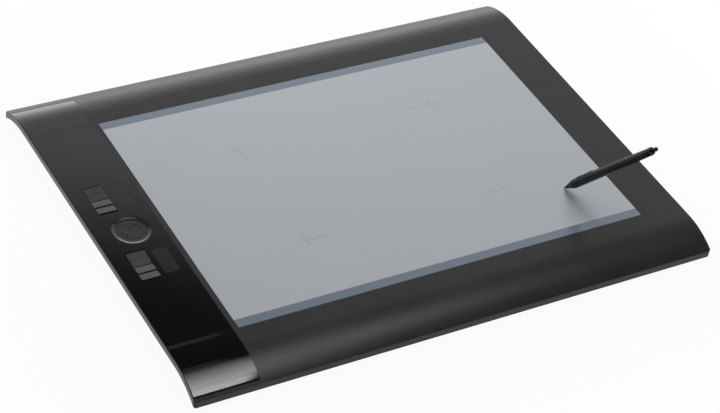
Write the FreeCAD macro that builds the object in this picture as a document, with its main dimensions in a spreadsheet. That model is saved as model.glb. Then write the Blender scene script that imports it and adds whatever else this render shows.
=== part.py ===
import FreeCAD, Part
import math
import os
from types import SimpleNamespace

import Sketcher
from FreeCAD import Placement, Rotation, Vector

# Graphics tablet with its pen, in millimetres.
# X runs along the tablet with the control column at -X, Y runs away from the user, Z is up.
# The origin is on the desk, under the middle of the tablet.

# Driving dimensions. Each is a cell of the sheet.
SIZES = {
    # casing
    "case_length": 623.0,
    "case_depth": 462.0,
    "case_height": 28.0,
    "crown_run": 46.0,
    "crown_radius": 90.0,
    "rim_height": 7.0,
    "rim_lap": 0.5,
    "case_skin": 2.5,
    "corner_round": 3.0,
    "edge_round": 0.7,
    "lap_gap": 0.2,
    "wall_drop": 5.2,
    "base_lift": 2.0,
    "base_skin": 2.2,
    "base_inset_side": 22.0,
    "base_inset_end": 9.0,
    "bevel_height": 4.0,
    # control column
    "column_width": 72.8,
    "shelf_skin": 2.2,
    "panel_skin": 2.4,
    "panel_gap": 0.15,
    "end_lip": 3.2,
    "rear_seam_inset": 17.4,
    "front_seam_inset": 16.4,
    "panel_slope": 4.0,
    "panel_slope_drop": 0.75,
    "cap_edge_round": 1.0,
    "peg_radius": 2.2,
    "peg_gap": 0.3,
    "peg_end_inset": 5.0,
    "peg_left_inset": 23.0,
    "peg_right_inset": 10.7,
    "cap_peg_radius": 1.5,
    "cap_peg_length": 3.4,
    "cap_peg_inset": 14.0,
    "cap_peg_step": 6.0,
    # drawing sheet and its electronics
    "sheet_left_margin": 6.4,
    "sheet_right_margin": 52.0,
    "sheet_end_margin": 19.5,
    "sheet_skin": 0.75,
    "sheet_recess": 0.8,
    "sheet_gap": 0.2,
    "sensor_skin": 1.0,
    "sensor_left_margin": 3.0,
    "sensor_right_margin": 1.5,
    "sensor_end_margin": 4.5,
    "shield_skin": 0.4,
    "stack_gap": 0.1,
    "shield_left_step": 8.0,
    # keys
    "key_width": 20.7,
    "key_depth": 9.75,
    "key_spacing": 0.45,
    "key_centre": 52.25,
    "key_left_inset": 18.8,
    "key_rise": 0.55,
    "key_fall": 0.25,
    "key_gap": 0.3,
    "key_flange": 1.0,
    "key_flange_skin": 0.9,
    "key_flange_gap": 0.3,
    "key_stem_radius": 1.6,
    "well_slope": 1.3,
    "well_slope_drop": 0.9,
    "well_room": 2.0,
    # ring and its button
    "ring_inset": 40.5,
    "ring_radius": 21.0,
    "ring_dish_radius": 17.5,
    "ring_dish_drop": 0.9,
    "ring_inner_drop": 1.0,
    "ring_land": 0.6,
    "ring_gap": 0.15,
    "button_radius": 10.0,
    "button_gap": 0.3,
    "button_flange": 1.1,
    "button_flange_skin": 0.9,
    "ring_sensor_skin": 0.8,
    "ring_sensor_gap": 0.3,
    # displays
    "window_width": 17.1,
    "window_depth": 36.0,
    "window_inset": 45.7,
    "window_drop": 0.15,
    "window_seat": 1.0,
    "display_skin": 1.8,
    "display_leg": 3.0,
    "display_inset": 1.5,
    # domes and boards
    "board_skin": 1.6,
    "key_board_drop": 8.4,
    "key_board_inset": 19.0,
    "key_board_width": 48.5,
    "key_board_reach": 89.0,
    "dome_sheet_skin": 0.5,
    "dome_radius": 3.2,
    "dome_tip_radius": 1.8,
    "dome_height": 1.9,
    "dome_gap": 0.3,
    "ring_mat_radius": 6.4,
    "main_board_rise": 1.0,
    "main_board_gap": 0.5,
    "main_board_length": 70.5,
    "main_board_reach": 45.0,
    "ribbon_skin": 0.3,
    "ribbon_half_width": 8.0,
    "sensor_ribbon_side": 25.0,
    "ribbon_bond": 8.0,
    "key_ribbon_step": 4.8,
    "key_ribbon_reach": 12.0,
    "sensor_ribbon_reach": 6.4,
    "chip_side": 14.0,
    "chip_skin": 1.4,
    # screws and bosses
    "screw_radius": 1.3,
    "screw_head_radius": 2.8,
    "screw_head_skin": 2.0,
    "screw_gap": 0.05,
    "screw_play": 0.4,
    "screw_grip": 7.0,
    "screw_seat": 4.0,
    "boss_radius": 4.0,
    "boss_split": 14.0,
    "boss_gap": 0.2,
    "screw_end_inset": 41.0,
    "screw_side_inset": 111.5,
    "screw_right_inset": 35.5,
    "screw_right_reach": 90.0,
    "screw_left_inset": 35.5,
    "screw_left_reach": 130.0,
    "small_screw_radius": 0.95,
    "small_head_radius": 2.0,
    "small_head_skin": 1.0,
    "small_boss_radius": 3.0,
    "small_screw_grip": 3.0,
    "board_screw_end_inset": 5.0,
    "board_screw_inset": 7.5,
    "rib_skin": 1.8,
    "rib_gap": 0.2,
    "rib_left_step": 13.0,
    "rib_right_step": 5.05,
    "rib_row": 50.0,
    "rib_reach": 150.0,
    # feet
    "foot_length": 44.0,
    "foot_width": 12.0,
    "foot_seat": 1.2,
    "foot_round": 1.0,
    "foot_end_inset": 17.0,
    "foot_side_inset": 49.5,
    # cable inlets and their sliding cover
    "port_spacing": 46.0,
    "bay_end_room": 1.5,
    "bay_roof_skin": 3.3,
    "bay_height": 7.5,
    "bay_wall_inset": 16.0,
    "bay_wall_skin": 2.2,
    "bay_cheek": 2.0,
    "socket_width": 7.7,
    "socket_height": 3.9,
    "socket_depth": 9.2,
    "socket_wall": 0.4,
    "socket_mouth": 7.0,
    "socket_gap": 0.2,
    "tongue_skin": 1.2,
    "tongue_width": 4.6,
    "cover_skin": 1.3,
    "cover_half": 9.0,
    "cover_gap": 0.3,
    "cover_tongue": 0.7,
    # pen: lengths along its axis are measured from the tip of the nib
    "pen_side_inset": 57.45,
    "pen_front_inset": 66.31,
    "pen_altitude": 52.2,
    "pen_heading": -75.07,
    "pen_roll": 180.0,
    "pen_rest_gap": 0.1,
    "nib_radius": 0.8,
    "nib_bush_gap": 0.08,
    "nib_travel": 0.5,
    "mouth_place": 2.8,
    "mouth_radius": 1.5,
    "mouth_length": 3.5,
    "mouth_bevel": 0.25,
    "mouth_bevel_length": 0.5,
    "cone_end": 13.5,
    "cone_radius": 4.15,
    "cone_belly_place": 8.5,
    "cone_belly_radius": 2.75,
    "cone_wall": 1.2,
    "cone_bore": 2.8,
    "cone_spigot_radius": 3.4,
    "cone_spigot_length": 4.0,
    "spigot_radius": 4.35,
    "spigot_length": 6.0,
    "spigot_wall": 0.7,
    "upper_spigot_length": 10.0,
    "pen_gap": 0.1,
    "grip_step": 5.0,
    "grip_radius": 5.35,
    "lower_length": 35.2,
    "barrel_seam_radius": 5.05,
    "upper_length": 55.2,
    "upper_end_radius": 4.35,
    "collar_length": 7.0,
    "collar_step": 3.0,
    "collar_flare": 0.25,
    "collar_taper_length": 2.0,
    "collar_end_radius": 3.9,
    "eraser_gap": 0.2,
    "eraser_step": 5.6,
    "eraser_radius": 2.4,
    "eraser_stem_radius": 1.9,
    "eraser_stem_reach": 3.0,
    "eraser_travel": 1.0,
    "eraser_flange_radius": 3.0,
    "eraser_flange_skin": 1.5,
    "eraser_flange_step": 0.3,
    "eraser_stop_step": 0.5,
    "eraser_block_length": 10.6,
    "eraser_block_gap": 0.4,
    "switch_step": 8.5,
    "switch_length": 23.6,
    "switch_half_width": 3.0,
    "switch_gap": 0.25,
    "switch_top": 6.0,
    "switch_end_top": 5.5,
    "switch_valley_top": 5.5,
    "switch_flat_half": 1.0,
    "switch_start_ramp": 2.0,
    "switch_end_ramp": 3.0,
    "switch_low": 4.1,
    "switch_lug_half": 1.5,
    "switch_pin_level": 2.8,
    "switch_pin_radius": 0.5,
    "switch_pin_reach": 3.8,
    "switch_pin_gap": 0.06,
    "switch_lug_low": 2.0,
    "ferrite_step": 1.0,
    "ferrite_length": 13.0,
    "ferrite_radius": 2.6,
    "ferrite_bore": 1.1,
    "coil_step": 2.0,
    "coil_length": 10.0,
    "coil_skin": 0.6,
    "core_gap": 0.02,
    "force_block_length": 6.0,
    "force_block_radius": 3.3,
    "force_room": 0.7,
    "pen_board_half_width": 2.9,
    "pen_board_skin": 0.8,
    "pen_board_level": 0.6,
}

doc = FreeCAD.newDocument("graphics_tablet")
sheet = doc.addObject("Spreadsheet::Sheet", "Sizes")
for row, (alias, number) in enumerate(SIZES.items(), start=1):
    sheet.set(f"A{row}", alias)
    sheet.set(f"B{row}", str(number))
    sheet.setAlias(f"B{row}", alias)
doc.recompute()


class Size:
    """A length that carries its number and the formula that ties it to the sheet."""

    def __init__(self, number, formula):
        self.number = number
        self.formula = formula

    def __add__(self, other):
        other = as_size(other)
        return Size(self.number + other.number, f"({self.formula} + {other.formula})")

    def __sub__(self, other):
        other = as_size(other)
        return Size(self.number - other.number, f"({self.formula} - {other.formula})")

    def __mul__(self, other):
        other = as_size(other)
        return Size(self.number * other.number, f"({self.formula} * {other.formula})")

    def __truediv__(self, other):
        other = as_size(other)
        return Size(self.number / other.number, f"({self.formula} / {other.formula})")

    def __radd__(self, other):
        return as_size(other) + self

    def __rsub__(self, other):
        return as_size(other) - self

    def __rmul__(self, other):
        return as_size(other) * self

    def __neg__(self):
        return Size(-self.number, f"(-{self.formula})")


class Free(float):
    """A first guess for a coordinate that the sketch works out by itself."""


def as_size(value):
    """Return the value as a Size, where a plain number stands for itself."""
    if isinstance(value, Size):
        return value
    return Size(float(value), str(float(value)))


def bind(thing, path, size):
    """Tie a property, or one part of it, to the sheet."""
    thing.setExpression(path, as_size(size).formula)


s = SimpleNamespace(**{name: Size(number, f"Sizes.{name}") for name, number in SIZES.items()})

# Counts and shares
KEY_STEPS = (1.5, 0.5, -0.5, -1.5)
RIB_BAYS = 4
SLOT_LENGTH_SHARE = 0.7
SLOT_WIDTH_SHARE = 0.15
SLOT_DEPTH_SHARE = 0.5
# Shares of the base skin by which the hollow's corners shift, so that each slope keeps its thickness
FLOOR_END_SHARE = 0.3
FLOOR_SIDE_SHARE = 0.4
BEVEL_SHARE = 0.6
RIM_SHARE = 0.4
# Small chips beside the large one: middle along X and Y, half width and half depth, in its half sides
CHIP_PLACE_SHARE = 0.45
SMALL_CHIPS = ((0.0, 2.1, 0.6, 0.6), (0.0, -2.0, 0.7, 0.5), (1.5, 1.5, 0.35, 0.25))

# How near a coordinate must lie to count as the same place, in millimetres
SAME_COORDINATE = 1e-6
SAME_CORNER = 0.01
SAME_CROWN = 0.02

# Places that several pieces share
ZERO = as_size(0)
SPARE = as_size(5)
HALF_LENGTH = s.case_length / 2
HALF_DEPTH = s.case_depth / 2
CROWN_HALF = HALF_DEPTH - s.crown_run
CROWN_CENTRE = s.case_height - s.crown_radius
RIM_CLEAR = s.rim_height + SPARE
SKIN_UNDER = s.case_height - s.case_skin
SHELF_DROP = s.panel_skin + s.stack_gap
SHELF_TOP = s.case_height - SHELF_DROP
SHELF_DEPTH = SHELF_DROP + s.shelf_skin
SHELF_UNDER = s.case_height - SHELF_DEPTH
PANEL_UNDER = s.case_height - s.panel_skin
COLUMN_RIGHT = s.column_width - HALF_LENGTH
COLUMN_WALL = COLUMN_RIGHT + s.panel_gap
MAIN_LEFT = COLUMN_WALL + s.case_skin
LEFT_FACE = s.panel_skin + s.panel_gap - HALF_LENGTH
LEFT_INNER = LEFT_FACE + s.case_skin
RIGHT_INNER = HALF_LENGTH - s.case_skin
END_INNER = HALF_DEPTH - s.case_skin
LIP_INNER = HALF_DEPTH - s.end_lip
BASE_TOP = s.base_lift + s.base_skin
BASE_HALF_LENGTH = HALF_LENGTH - s.base_inset_side
BASE_HALF_DEPTH = HALF_DEPTH - s.base_inset_end
LAP_LEFT = LEFT_INNER + s.lap_gap
LAP_RIGHT = RIGHT_INNER - s.lap_gap
LAP_END = END_INNER - s.lap_gap
REAR_SEAM = CROWN_HALF - s.rear_seam_inset
FRONT_SEAM = CROWN_HALF - s.front_seam_inset
SHEET_LEFT = COLUMN_RIGHT + s.sheet_left_margin
SHEET_RIGHT = HALF_LENGTH - s.sheet_right_margin
SHEET_HALF_DEPTH = CROWN_HALF - s.sheet_end_margin
SHEET_FLOOR = s.case_height - s.sheet_recess
SHEET_TOP = SHEET_FLOOR + s.sheet_skin
SENSOR_TOP = SKIN_UNDER - s.stack_gap
SENSOR_UNDER = SENSOR_TOP - s.sensor_skin
SENSOR_LEFT = MAIN_LEFT + s.sensor_left_margin
SENSOR_RIGHT = SHEET_RIGHT + s.sensor_right_margin
SENSOR_HALF_DEPTH = SHEET_HALF_DEPTH - s.sensor_end_margin
SHIELD_TOP = SENSOR_UNDER - s.stack_gap
SHIELD_UNDER = SHIELD_TOP - s.shield_skin
SHIELD_LEFT = SENSOR_LEFT + s.shield_left_step
KEY_X = s.key_left_inset + s.key_width / 2 - HALF_LENGTH
RING_X = s.ring_inset - HALF_LENGTH
WINDOW_LEFT = s.window_inset - HALF_LENGTH
WINDOW_RIGHT = WINDOW_LEFT + s.window_width
KEY_PITCH = s.key_depth + s.key_spacing
WELL_HALF_WIDTH = s.key_width / 2 + s.key_gap
WELL_HALF_DEPTH = KEY_PITCH * KEY_STEPS[0] + s.key_depth / 2 + s.key_gap
KEY_FLANGE_TOP = PANEL_UNDER - s.key_flange_gap
KEY_FLANGE_LOW = KEY_FLANGE_TOP - s.key_flange_skin
KEY_BOARD_TOP = s.case_height - s.key_board_drop
DOME_SHEET_TOP = KEY_BOARD_TOP + s.dome_sheet_skin
DOME_TOP = DOME_SHEET_TOP + s.dome_height
STEM_LOW = DOME_TOP + s.dome_gap
KEY_BOARD_LEFT = s.key_board_inset - HALF_LENGTH
KEY_BOARD_RIGHT = KEY_BOARD_LEFT + s.key_board_width
KEY_BOARD_UNDER = KEY_BOARD_TOP - s.board_skin
PEG_REACH = s.key_board_reach - s.peg_end_inset
BAY_WALL = s.bay_wall_inset - HALF_LENGTH
BAY_WALL_INNER = BAY_WALL + s.bay_wall_skin
BAY_HALF = s.port_spacing / 2 + s.cover_half + s.bay_end_room
BAY_ROOF = s.case_height - s.wall_drop - s.bay_roof_skin
BAY_FLOOR = BAY_ROOF - s.bay_height
MAIN_BOARD_TOP = BAY_FLOOR + s.main_board_rise
MAIN_BOARD_LEFT = BAY_WALL_INNER + s.main_board_gap
MAIN_BOARD_RIGHT = MAIN_BOARD_LEFT + s.main_board_length
MAIN_BOARD_UNDER = MAIN_BOARD_TOP - s.board_skin
PILOT_RADIUS = s.screw_radius + s.screw_gap
PLAY_RADIUS = s.screw_radius + s.screw_play
SMALL_PILOT_RADIUS = s.small_screw_radius + s.screw_gap
SCREW_SEAT_Z = s.base_lift + s.screw_seat
SCREW_TOP = s.boss_split + s.screw_grip
SCREW_ROW = HALF_DEPTH - s.screw_end_inset
SCREW_SPACING = HALF_LENGTH - s.screw_side_inset
BOARD_SCREW_REACH = s.main_board_reach - s.board_screw_end_inset
FOOT_ROW = BASE_HALF_DEPTH - s.foot_end_inset
FOOT_SPACING = BASE_HALF_LENGTH - s.foot_side_inset
COVER_OUTER = BAY_WALL - s.cover_gap - s.cover_skin
COVER_INNER = BAY_WALL - s.cover_gap
COVER_LOW = BAY_FLOOR + s.cover_gap
COVER_HIGH = BAY_ROOF - s.cover_gap
GRIP_PLACE = s.cone_end + s.grip_step
SWITCH_START = GRIP_PLACE + s.switch_step
SWITCH_END = SWITCH_START + s.switch_length
SWITCH_MIDDLE = SWITCH_START + s.switch_length / 2
FORCE_END = SWITCH_MIDDLE - s.switch_lug_half - s.force_room
FORCE_START = FORCE_END - s.force_block_length
NIB_END = FORCE_START - s.pen_gap - s.nib_travel
FERRITE_END = NIB_END - s.ferrite_step
FERRITE_START = FERRITE_END - s.ferrite_length
COIL_START = FERRITE_START + s.coil_step
COIL_END = COIL_START + s.coil_length
BARREL_SEAM = SWITCH_END + s.lower_length
UPPER_END = BARREL_SEAM + s.upper_length
COLLAR_END = UPPER_END + s.collar_length
ERASER_CENTRE = COLLAR_END + s.eraser_step
ERASER_STEM_START = UPPER_END - s.eraser_stem_reach
ERASER_BLOCK_END = ERASER_STEM_START - s.eraser_travel - s.eraser_block_gap
PEN_BOARD_END = ERASER_BLOCK_END - s.eraser_block_length
COLLAR_BORE = s.eraser_stem_radius + s.eraser_gap
UPPER_SPIGOT_START = BARREL_SEAM - s.upper_spigot_length
UPPER_BORE = s.spigot_radius - s.spigot_wall
COLLAR_SPIGOT_RADIUS = UPPER_BORE - s.pen_gap
COLLAR_SPIGOT_START = UPPER_END - s.spigot_length
PEN_TIP_X = SHEET_RIGHT - s.pen_side_inset
PEN_TIP_Y = s.pen_front_inset - SHEET_HALF_DEPTH


def plane_of(body, role):
    """Return one of a body's own origin planes."""
    return next(plane for plane in body.Origin.OriginFeatures if plane.Role == role)


def pin_point(sketch, index, point, place):
    """Tie one point of a sketch to its place, measured from the sketch's origin."""
    for axis, kind, value in ((-2, "DistanceX", place[0]), (-1, "DistanceY", place[1])):
        if isinstance(value, Free):
            continue
        size = as_size(value)
        if abs(size.number) < SAME_COORDINATE:
            sketch.addConstraint(Sketcher.Constraint("PointOnObject", index, point, axis))
            continue
        count = sketch.addConstraint(Sketcher.Constraint(kind, -1, 1, index, point, size.number))
        bind(sketch, f"Constraints[{count}]", size)


def flat(place):
    """Return a place in a sketch as a vector of plain numbers."""
    x, y = (value if isinstance(value, Free) else as_size(value).number for value in place)
    return Vector(x, y, 0)


def edge_between(start, end, centre):
    """Return a straight edge or a short arc, and which of its points is the start."""
    if centre is None:
        return Part.LineSegment(start, end), 1
    first = math.atan2(start.y - centre.y, start.x - centre.x)
    last = math.atan2(end.y - centre.y, end.x - centre.x)
    circle = Part.Circle(centre, Vector(0, 0, 1), start.distanceToPoint(centre))
    leftward = (start - centre).cross(end - centre).z > 0
    if leftward:
        return Part.ArcOfCircle(circle, first, last if last > first else last + 2 * math.pi), 1
    return Part.ArcOfCircle(circle, last, first if first > last else first + 2 * math.pi), 2


class Loop:
    """A closed outline: corners, and for each edge the centre of its arc or None."""

    def __init__(self, corners, centres=None):
        self.corners = corners
        self.centres = centres or [None] * len(corners)

    def draw(self, sketch):
        """Draw the outline and tie every corner and arc centre."""
        starts = []
        places = [flat(corner) for corner in self.corners]
        for index, centre in enumerate(self.centres):
            end = places[(index + 1) % len(places)]
            geometry, start = edge_between(places[index], end, centre and flat(centre))
            starts.append((sketch.addGeometry(geometry, False), start))
        for index, (edge, start) in enumerate(starts):
            following, next_start = starts[(index + 1) % len(starts)]
            sketch.addConstraint(Sketcher.Constraint("Coincident", edge, 3 - start, following, next_start))
        for (edge, start), corner, centre in zip(starts, self.corners, self.centres):
            pin_point(sketch, edge, start, corner)
            if centre is not None:
                pin_point(sketch, edge, 3, centre)


class Round:
    """A circle in a sketch."""

    def __init__(self, x, y, radius):
        self.place = (x, y)
        self.radius = radius

    def draw(self, sketch):
        """Draw the circle and tie its centre and radius."""
        edge = sketch.addGeometry(Part.Circle(flat(self.place), Vector(0, 0, 1), self.radius.number), False)
        pin_point(sketch, edge, 3, self.place)
        count = sketch.addConstraint(Sketcher.Constraint("Radius", edge, self.radius.number))
        bind(sketch, f"Constraints[{count}]", self.radius)


def oblong(left, right, low, high):
    """Return a rectangle."""
    return Loop([(left, low), (right, low), (right, high), (left, high)])


def oblong_at(x, y, half_width, half_depth):
    """Return a rectangle about its middle."""
    return oblong(x - half_width, x + half_width, y - half_depth, y + half_depth)


def crown_guess(y, depth):
    """Return about how high the crowned line of a depth lies at y."""
    radius = s.crown_radius.number - depth.number
    beyond = max(abs(y.number) - CROWN_HALF.number, 0)
    return Free(CROWN_CENTRE.number + math.sqrt(radius ** 2 - beyond ** 2))


def crown_path(front, back, depth):
    """Return the corners and arc centres of a crowned line from front to back, a depth below the top."""
    level = s.case_height - depth
    corners = [(front, level)]
    centres = [None]
    if front.number < -CROWN_HALF.number:
        corners = [(front, crown_guess(front, depth)), (-CROWN_HALF, level)]
        centres = [(-CROWN_HALF, CROWN_CENTRE), None]
    if back.number > CROWN_HALF.number:
        corners += [(CROWN_HALF, level), (back, crown_guess(back, depth))]
        centres += [(CROWN_HALF, CROWN_CENTRE)]
    else:
        corners.append((back, level))
    return corners, centres


def crown_band(front, back, over, under):
    """Return the crowned band between two depths below the top."""
    upper, upper_centres = crown_path(front, back, over)
    lower, lower_centres = crown_path(front, back, under)
    return Loop(upper + lower[::-1], upper_centres + [None] + lower_centres[::-1] + [None])


class Piece:
    """One sub-part: a body whose sketches and features are tied to the sheet."""

    def __init__(self, label):
        self.body = doc.addObject("PartDesign::Body", label)
        self.body.Label = label
        self.body.AllowCompound = True

    def sketch(self, name, plane, offset, shapes):
        """Draw shapes on one of the body's planes, moved along its normal."""
        sketch = self.body.newObject("Sketcher::SketchObject", f"{self.body.Label}_{name}_sketch")
        sketch.AttachmentSupport = [(plane_of(self.body, plane), "")]
        sketch.MapMode = "FlatFace"
        bind(sketch, "AttachmentOffset.Base.z", offset)
        for shape in shapes:
            shape.draw(sketch)
        return sketch

    def span(self, kind, name, plane, low, high, shapes):
        """Extrude shapes from low to high along the axis that is square to the plane."""
        towards_front = plane == "XZ_Plane"
        sketch = self.sketch(name, plane, -high if towards_front else low, shapes)
        feature = self.body.newObject(kind, f"{self.body.Label}_{name}")
        feature.Profile = sketch
        bind(feature, "Length", high - low)
        return feature

    def add(self, name, plane, low, high, *shapes):
        """Add material between low and high."""
        self.span("PartDesign::Pad", name, plane, low, high, shapes)
        return self

    def cut(self, name, plane, low, high, *shapes):
        """Take material away between low and high."""
        doc.recompute()
        before = self.body.Shape.Volume
        feature = self.span("PartDesign::Pocket", name, plane, low, high, shapes)
        feature.Reversed = True
        doc.recompute()
        if not self.body.Shape.Volume < before:
            raise ValueError(f"{feature.Label} takes nothing away")
        return self

    def loft(self, kind, name, *stations):
        """Join an outline on the YZ plane at one place along X to another at a second place."""
        sketches = [self.sketch(f"{name}_{index}", "YZ_Plane", x, [shape])
                    for index, (x, shape) in enumerate(stations)]
        feature = self.body.newObject(kind, f"{self.body.Label}_{name}")
        feature.Profile = sketches[0]
        feature.Sections = sketches[1:]
        feature.Ruled = True
        return self

    def turn(self, name, *shapes):
        """Revolve shapes, drawn as radius and height, about the body's Z axis."""
        sketch = self.sketch(name, "XZ_Plane", ZERO, shapes)
        feature = self.body.newObject("PartDesign::Revolution", f"{self.body.Label}_{name}")
        feature.Profile = sketch
        feature.ReferenceAxis = (sketch, ["V_Axis"])
        feature.Angle = 360
        return self

    def soften(self, name, radius, chosen, kind="PartDesign::Fillet", size="Radius"):
        """Round or chamfer the edges that the chosen test picks."""
        doc.recompute()
        base = self.body.Tip
        names = [f"Edge{index}" for index, edge in enumerate(base.Shape.Edges, start=1) if chosen(edge)]
        feature = self.body.newObject(kind, f"{self.body.Label}_{name}")
        feature.Base = (base, names)
        bind(feature, size, radius)
        return self

    def place(self, x, y, z, rotation=None):
        """Put the body in its place."""
        self.body.Placement = Placement(Vector(x.number, y.number, z.number), rotation or Rotation())
        bind(self.body, "Placement.Base.x", x)
        bind(self.body, "Placement.Base.y", y)
        bind(self.body, "Placement.Base.z", z)
        return self


def crown_rim(x_faces, y_faces, margin):
    """Return a test for the top edges that lie on or near the named side faces."""
    def chosen(edge):
        middle = edge.valueAt((edge.FirstParameter + edge.LastParameter) / 2)
        if abs(middle.z - crown_guess(as_size(middle.y), ZERO)) > SAME_CROWN:
            return False
        near_x = any(abs(middle.x - x.number) < margin.number for x in x_faces)
        near_y = any(abs(middle.y - y.number) < margin.number for y in y_faces)
        return near_x or near_y
    return chosen


def level_at(levels):
    """Return a test for an edge whose ends lie at one of the levels."""
    def chosen(edge):
        heights = [vertex.Point.z for vertex in edge.Vertexes]
        return all(any(abs(height - level.number) < SAME_CORNER for level in levels) for height in heights)
    return chosen


def upright_at(x, y):
    """Return a test for an upright edge at a place in the plan."""
    def chosen(edge):
        ends = [vertex.Point for vertex in edge.Vertexes]
        if len(ends) != 2:
            return False
        return all(math.dist((end.x, end.y), (x.number, y.number)) < SAME_CORNER for end in ends)
    return chosen


def screw_places():
    """Return where the casing screws stand in the plan."""
    places = []
    for side in (-1, 1):
        for step in (-1, 0, 1):
            places.append((SCREW_SPACING * step, SCREW_ROW * side))
        places.append((HALF_LENGTH - s.screw_right_inset, s.screw_right_reach * side))
        places.append((s.screw_left_inset - HALF_LENGTH, s.screw_left_reach * side))
    return places


def rounds(places, radius):
    """Return a circle at each place."""
    return [Round(x, y, radius) for x, y in places]


def peg_places():
    """Return where the control panel's screwed pegs stand in the plan."""
    columns = (s.peg_left_inset - HALF_LENGTH, COLUMN_RIGHT - s.peg_right_inset)
    return [(x, PEG_REACH * side) for x in columns for side in (-1, 1)]


def cap_peg_places(side):
    """Return where an end cap's pegs stand in the plan."""
    y = (SCREW_ROW + s.cap_peg_step) * side
    return [(s.cap_peg_inset - HALF_LENGTH, y), (COLUMN_RIGHT - s.cap_peg_inset, y)]


def board_screw_places():
    """Return where the main board's screws stand in the plan."""
    columns = (MAIN_BOARD_LEFT + s.board_screw_inset, MAIN_BOARD_RIGHT - s.board_screw_inset)
    return [(x, BOARD_SCREW_REACH * side) for x in columns for side in (-1, 1)]


def foot_places():
    """Return where the feet stand in the plan."""
    return [(FOOT_SPACING * step, FOOT_ROW * side) for side in (-1, 1) for step in (-1, 0, 1)]


def make_top_casing():
    """Arched shell with the sheet's recess and the lowered shelf of the control column."""
    piece = Piece("top_casing")
    piece.add("block", "YZ_Plane", -HALF_LENGTH, HALF_LENGTH,
              crown_band(-HALF_DEPTH, HALF_DEPTH, ZERO, s.rim_height))
    piece.soften("corners", s.corner_round,
                 lambda edge: any(upright_at(x, y)(edge) for x in (HALF_LENGTH, -HALF_LENGTH)
                                  for y in (HALF_DEPTH, -HALF_DEPTH)))
    piece.soften("top_edges", s.edge_round,
                 crown_rim((HALF_LENGTH, -HALF_LENGTH), (HALF_DEPTH, -HALF_DEPTH), s.corner_round))
    piece.cut("main_hollow", "YZ_Plane", MAIN_LEFT, RIGHT_INNER,
              crown_band(-END_INNER, END_INNER, s.case_skin, RIM_CLEAR))
    piece.cut("column_hollow", "YZ_Plane", LEFT_INNER, MAIN_LEFT,
              crown_band(-END_INNER, END_INNER, SHELF_DEPTH, RIM_CLEAR))
    piece.cut("column_recess", "YZ_Plane", -HALF_LENGTH - SPARE, COLUMN_WALL,
              crown_band(-LIP_INNER, LIP_INNER, -SPARE, SHELF_DROP))
    piece.cut("side_recess", "YZ_Plane", -HALF_LENGTH - SPARE, LEFT_FACE,
              crown_band(-LIP_INNER, LIP_INNER, -SPARE, RIM_CLEAR))
    piece.cut("sheet_recess", "XY_Plane", SHEET_FLOOR, s.case_height + SPARE,
              oblong(SHEET_LEFT - s.sheet_gap, SHEET_RIGHT + s.sheet_gap,
                     -SHEET_HALF_DEPTH - s.sheet_gap, SHEET_HALF_DEPTH + s.sheet_gap))
    openings = []
    for side in (-1, 1):
        y = s.key_centre * side
        openings.append(oblong_at(KEY_X, y, WELL_HALF_WIDTH + s.well_room, WELL_HALF_DEPTH + s.well_room))
        openings.append(oblong(WINDOW_LEFT + s.window_seat, WINDOW_RIGHT - s.window_seat,
                               y - s.window_depth / 2 + s.window_seat,
                               y + s.window_depth / 2 - s.window_seat))
    button_room = s.button_radius + s.button_flange + s.button_gap
    piece.cut("shelf_openings", "XY_Plane", SHELF_UNDER - SPARE, s.case_height,
              *openings, Round(RING_X, ZERO, button_room))
    piece.cut("ring_sensor_recess", "XY_Plane", SHELF_TOP - s.ring_sensor_skin, s.case_height,
              Round(RING_X, ZERO, s.ring_radius - s.ring_sensor_gap))
    piece.cut("peg_holes", "XY_Plane", SHELF_UNDER - SPARE, s.case_height,
              *rounds(peg_places(), s.peg_radius + s.peg_gap),
              *rounds(cap_peg_places(-1) + cap_peg_places(1), s.cap_peg_radius + s.peg_gap))
    piece.add("bosses", "XY_Plane", s.boss_split, SHELF_UNDER, *rounds(screw_places(), s.boss_radius))
    piece.add("boss_roots", "XY_Plane", SHELF_UNDER, SKIN_UNDER,
              *rounds([place for place in screw_places() if place[0].number > COLUMN_WALL.number],
                      s.boss_radius))
    piece.cut("pilot_holes", "XY_Plane", s.boss_split, SCREW_TOP + s.screw_play,
              *rounds(screw_places(), PILOT_RADIUS))
    return piece


def tray_section(end, floor_end, floor, bevel, top_depth):
    """Return the tray's cross-section: crowned above, flat below with a bevel at each end."""
    corners, centres = crown_path(-end, end, top_depth)
    corners += [(end, bevel), (floor_end, floor), (-floor_end, floor), (-end, bevel)]
    return Loop(corners, centres + [None] * 5)


def rim_section(end, low_depth, top_depth):
    """Return the tray's cross-section at its side rim, with the corners that its middle has."""
    upper, upper_centres = crown_path(-end, end, top_depth)
    lower, lower_centres = crown_path(-end, end, low_depth)
    return Loop(upper + lower[::-1], upper_centres + [None] + lower_centres[::-1] + [None])


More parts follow.
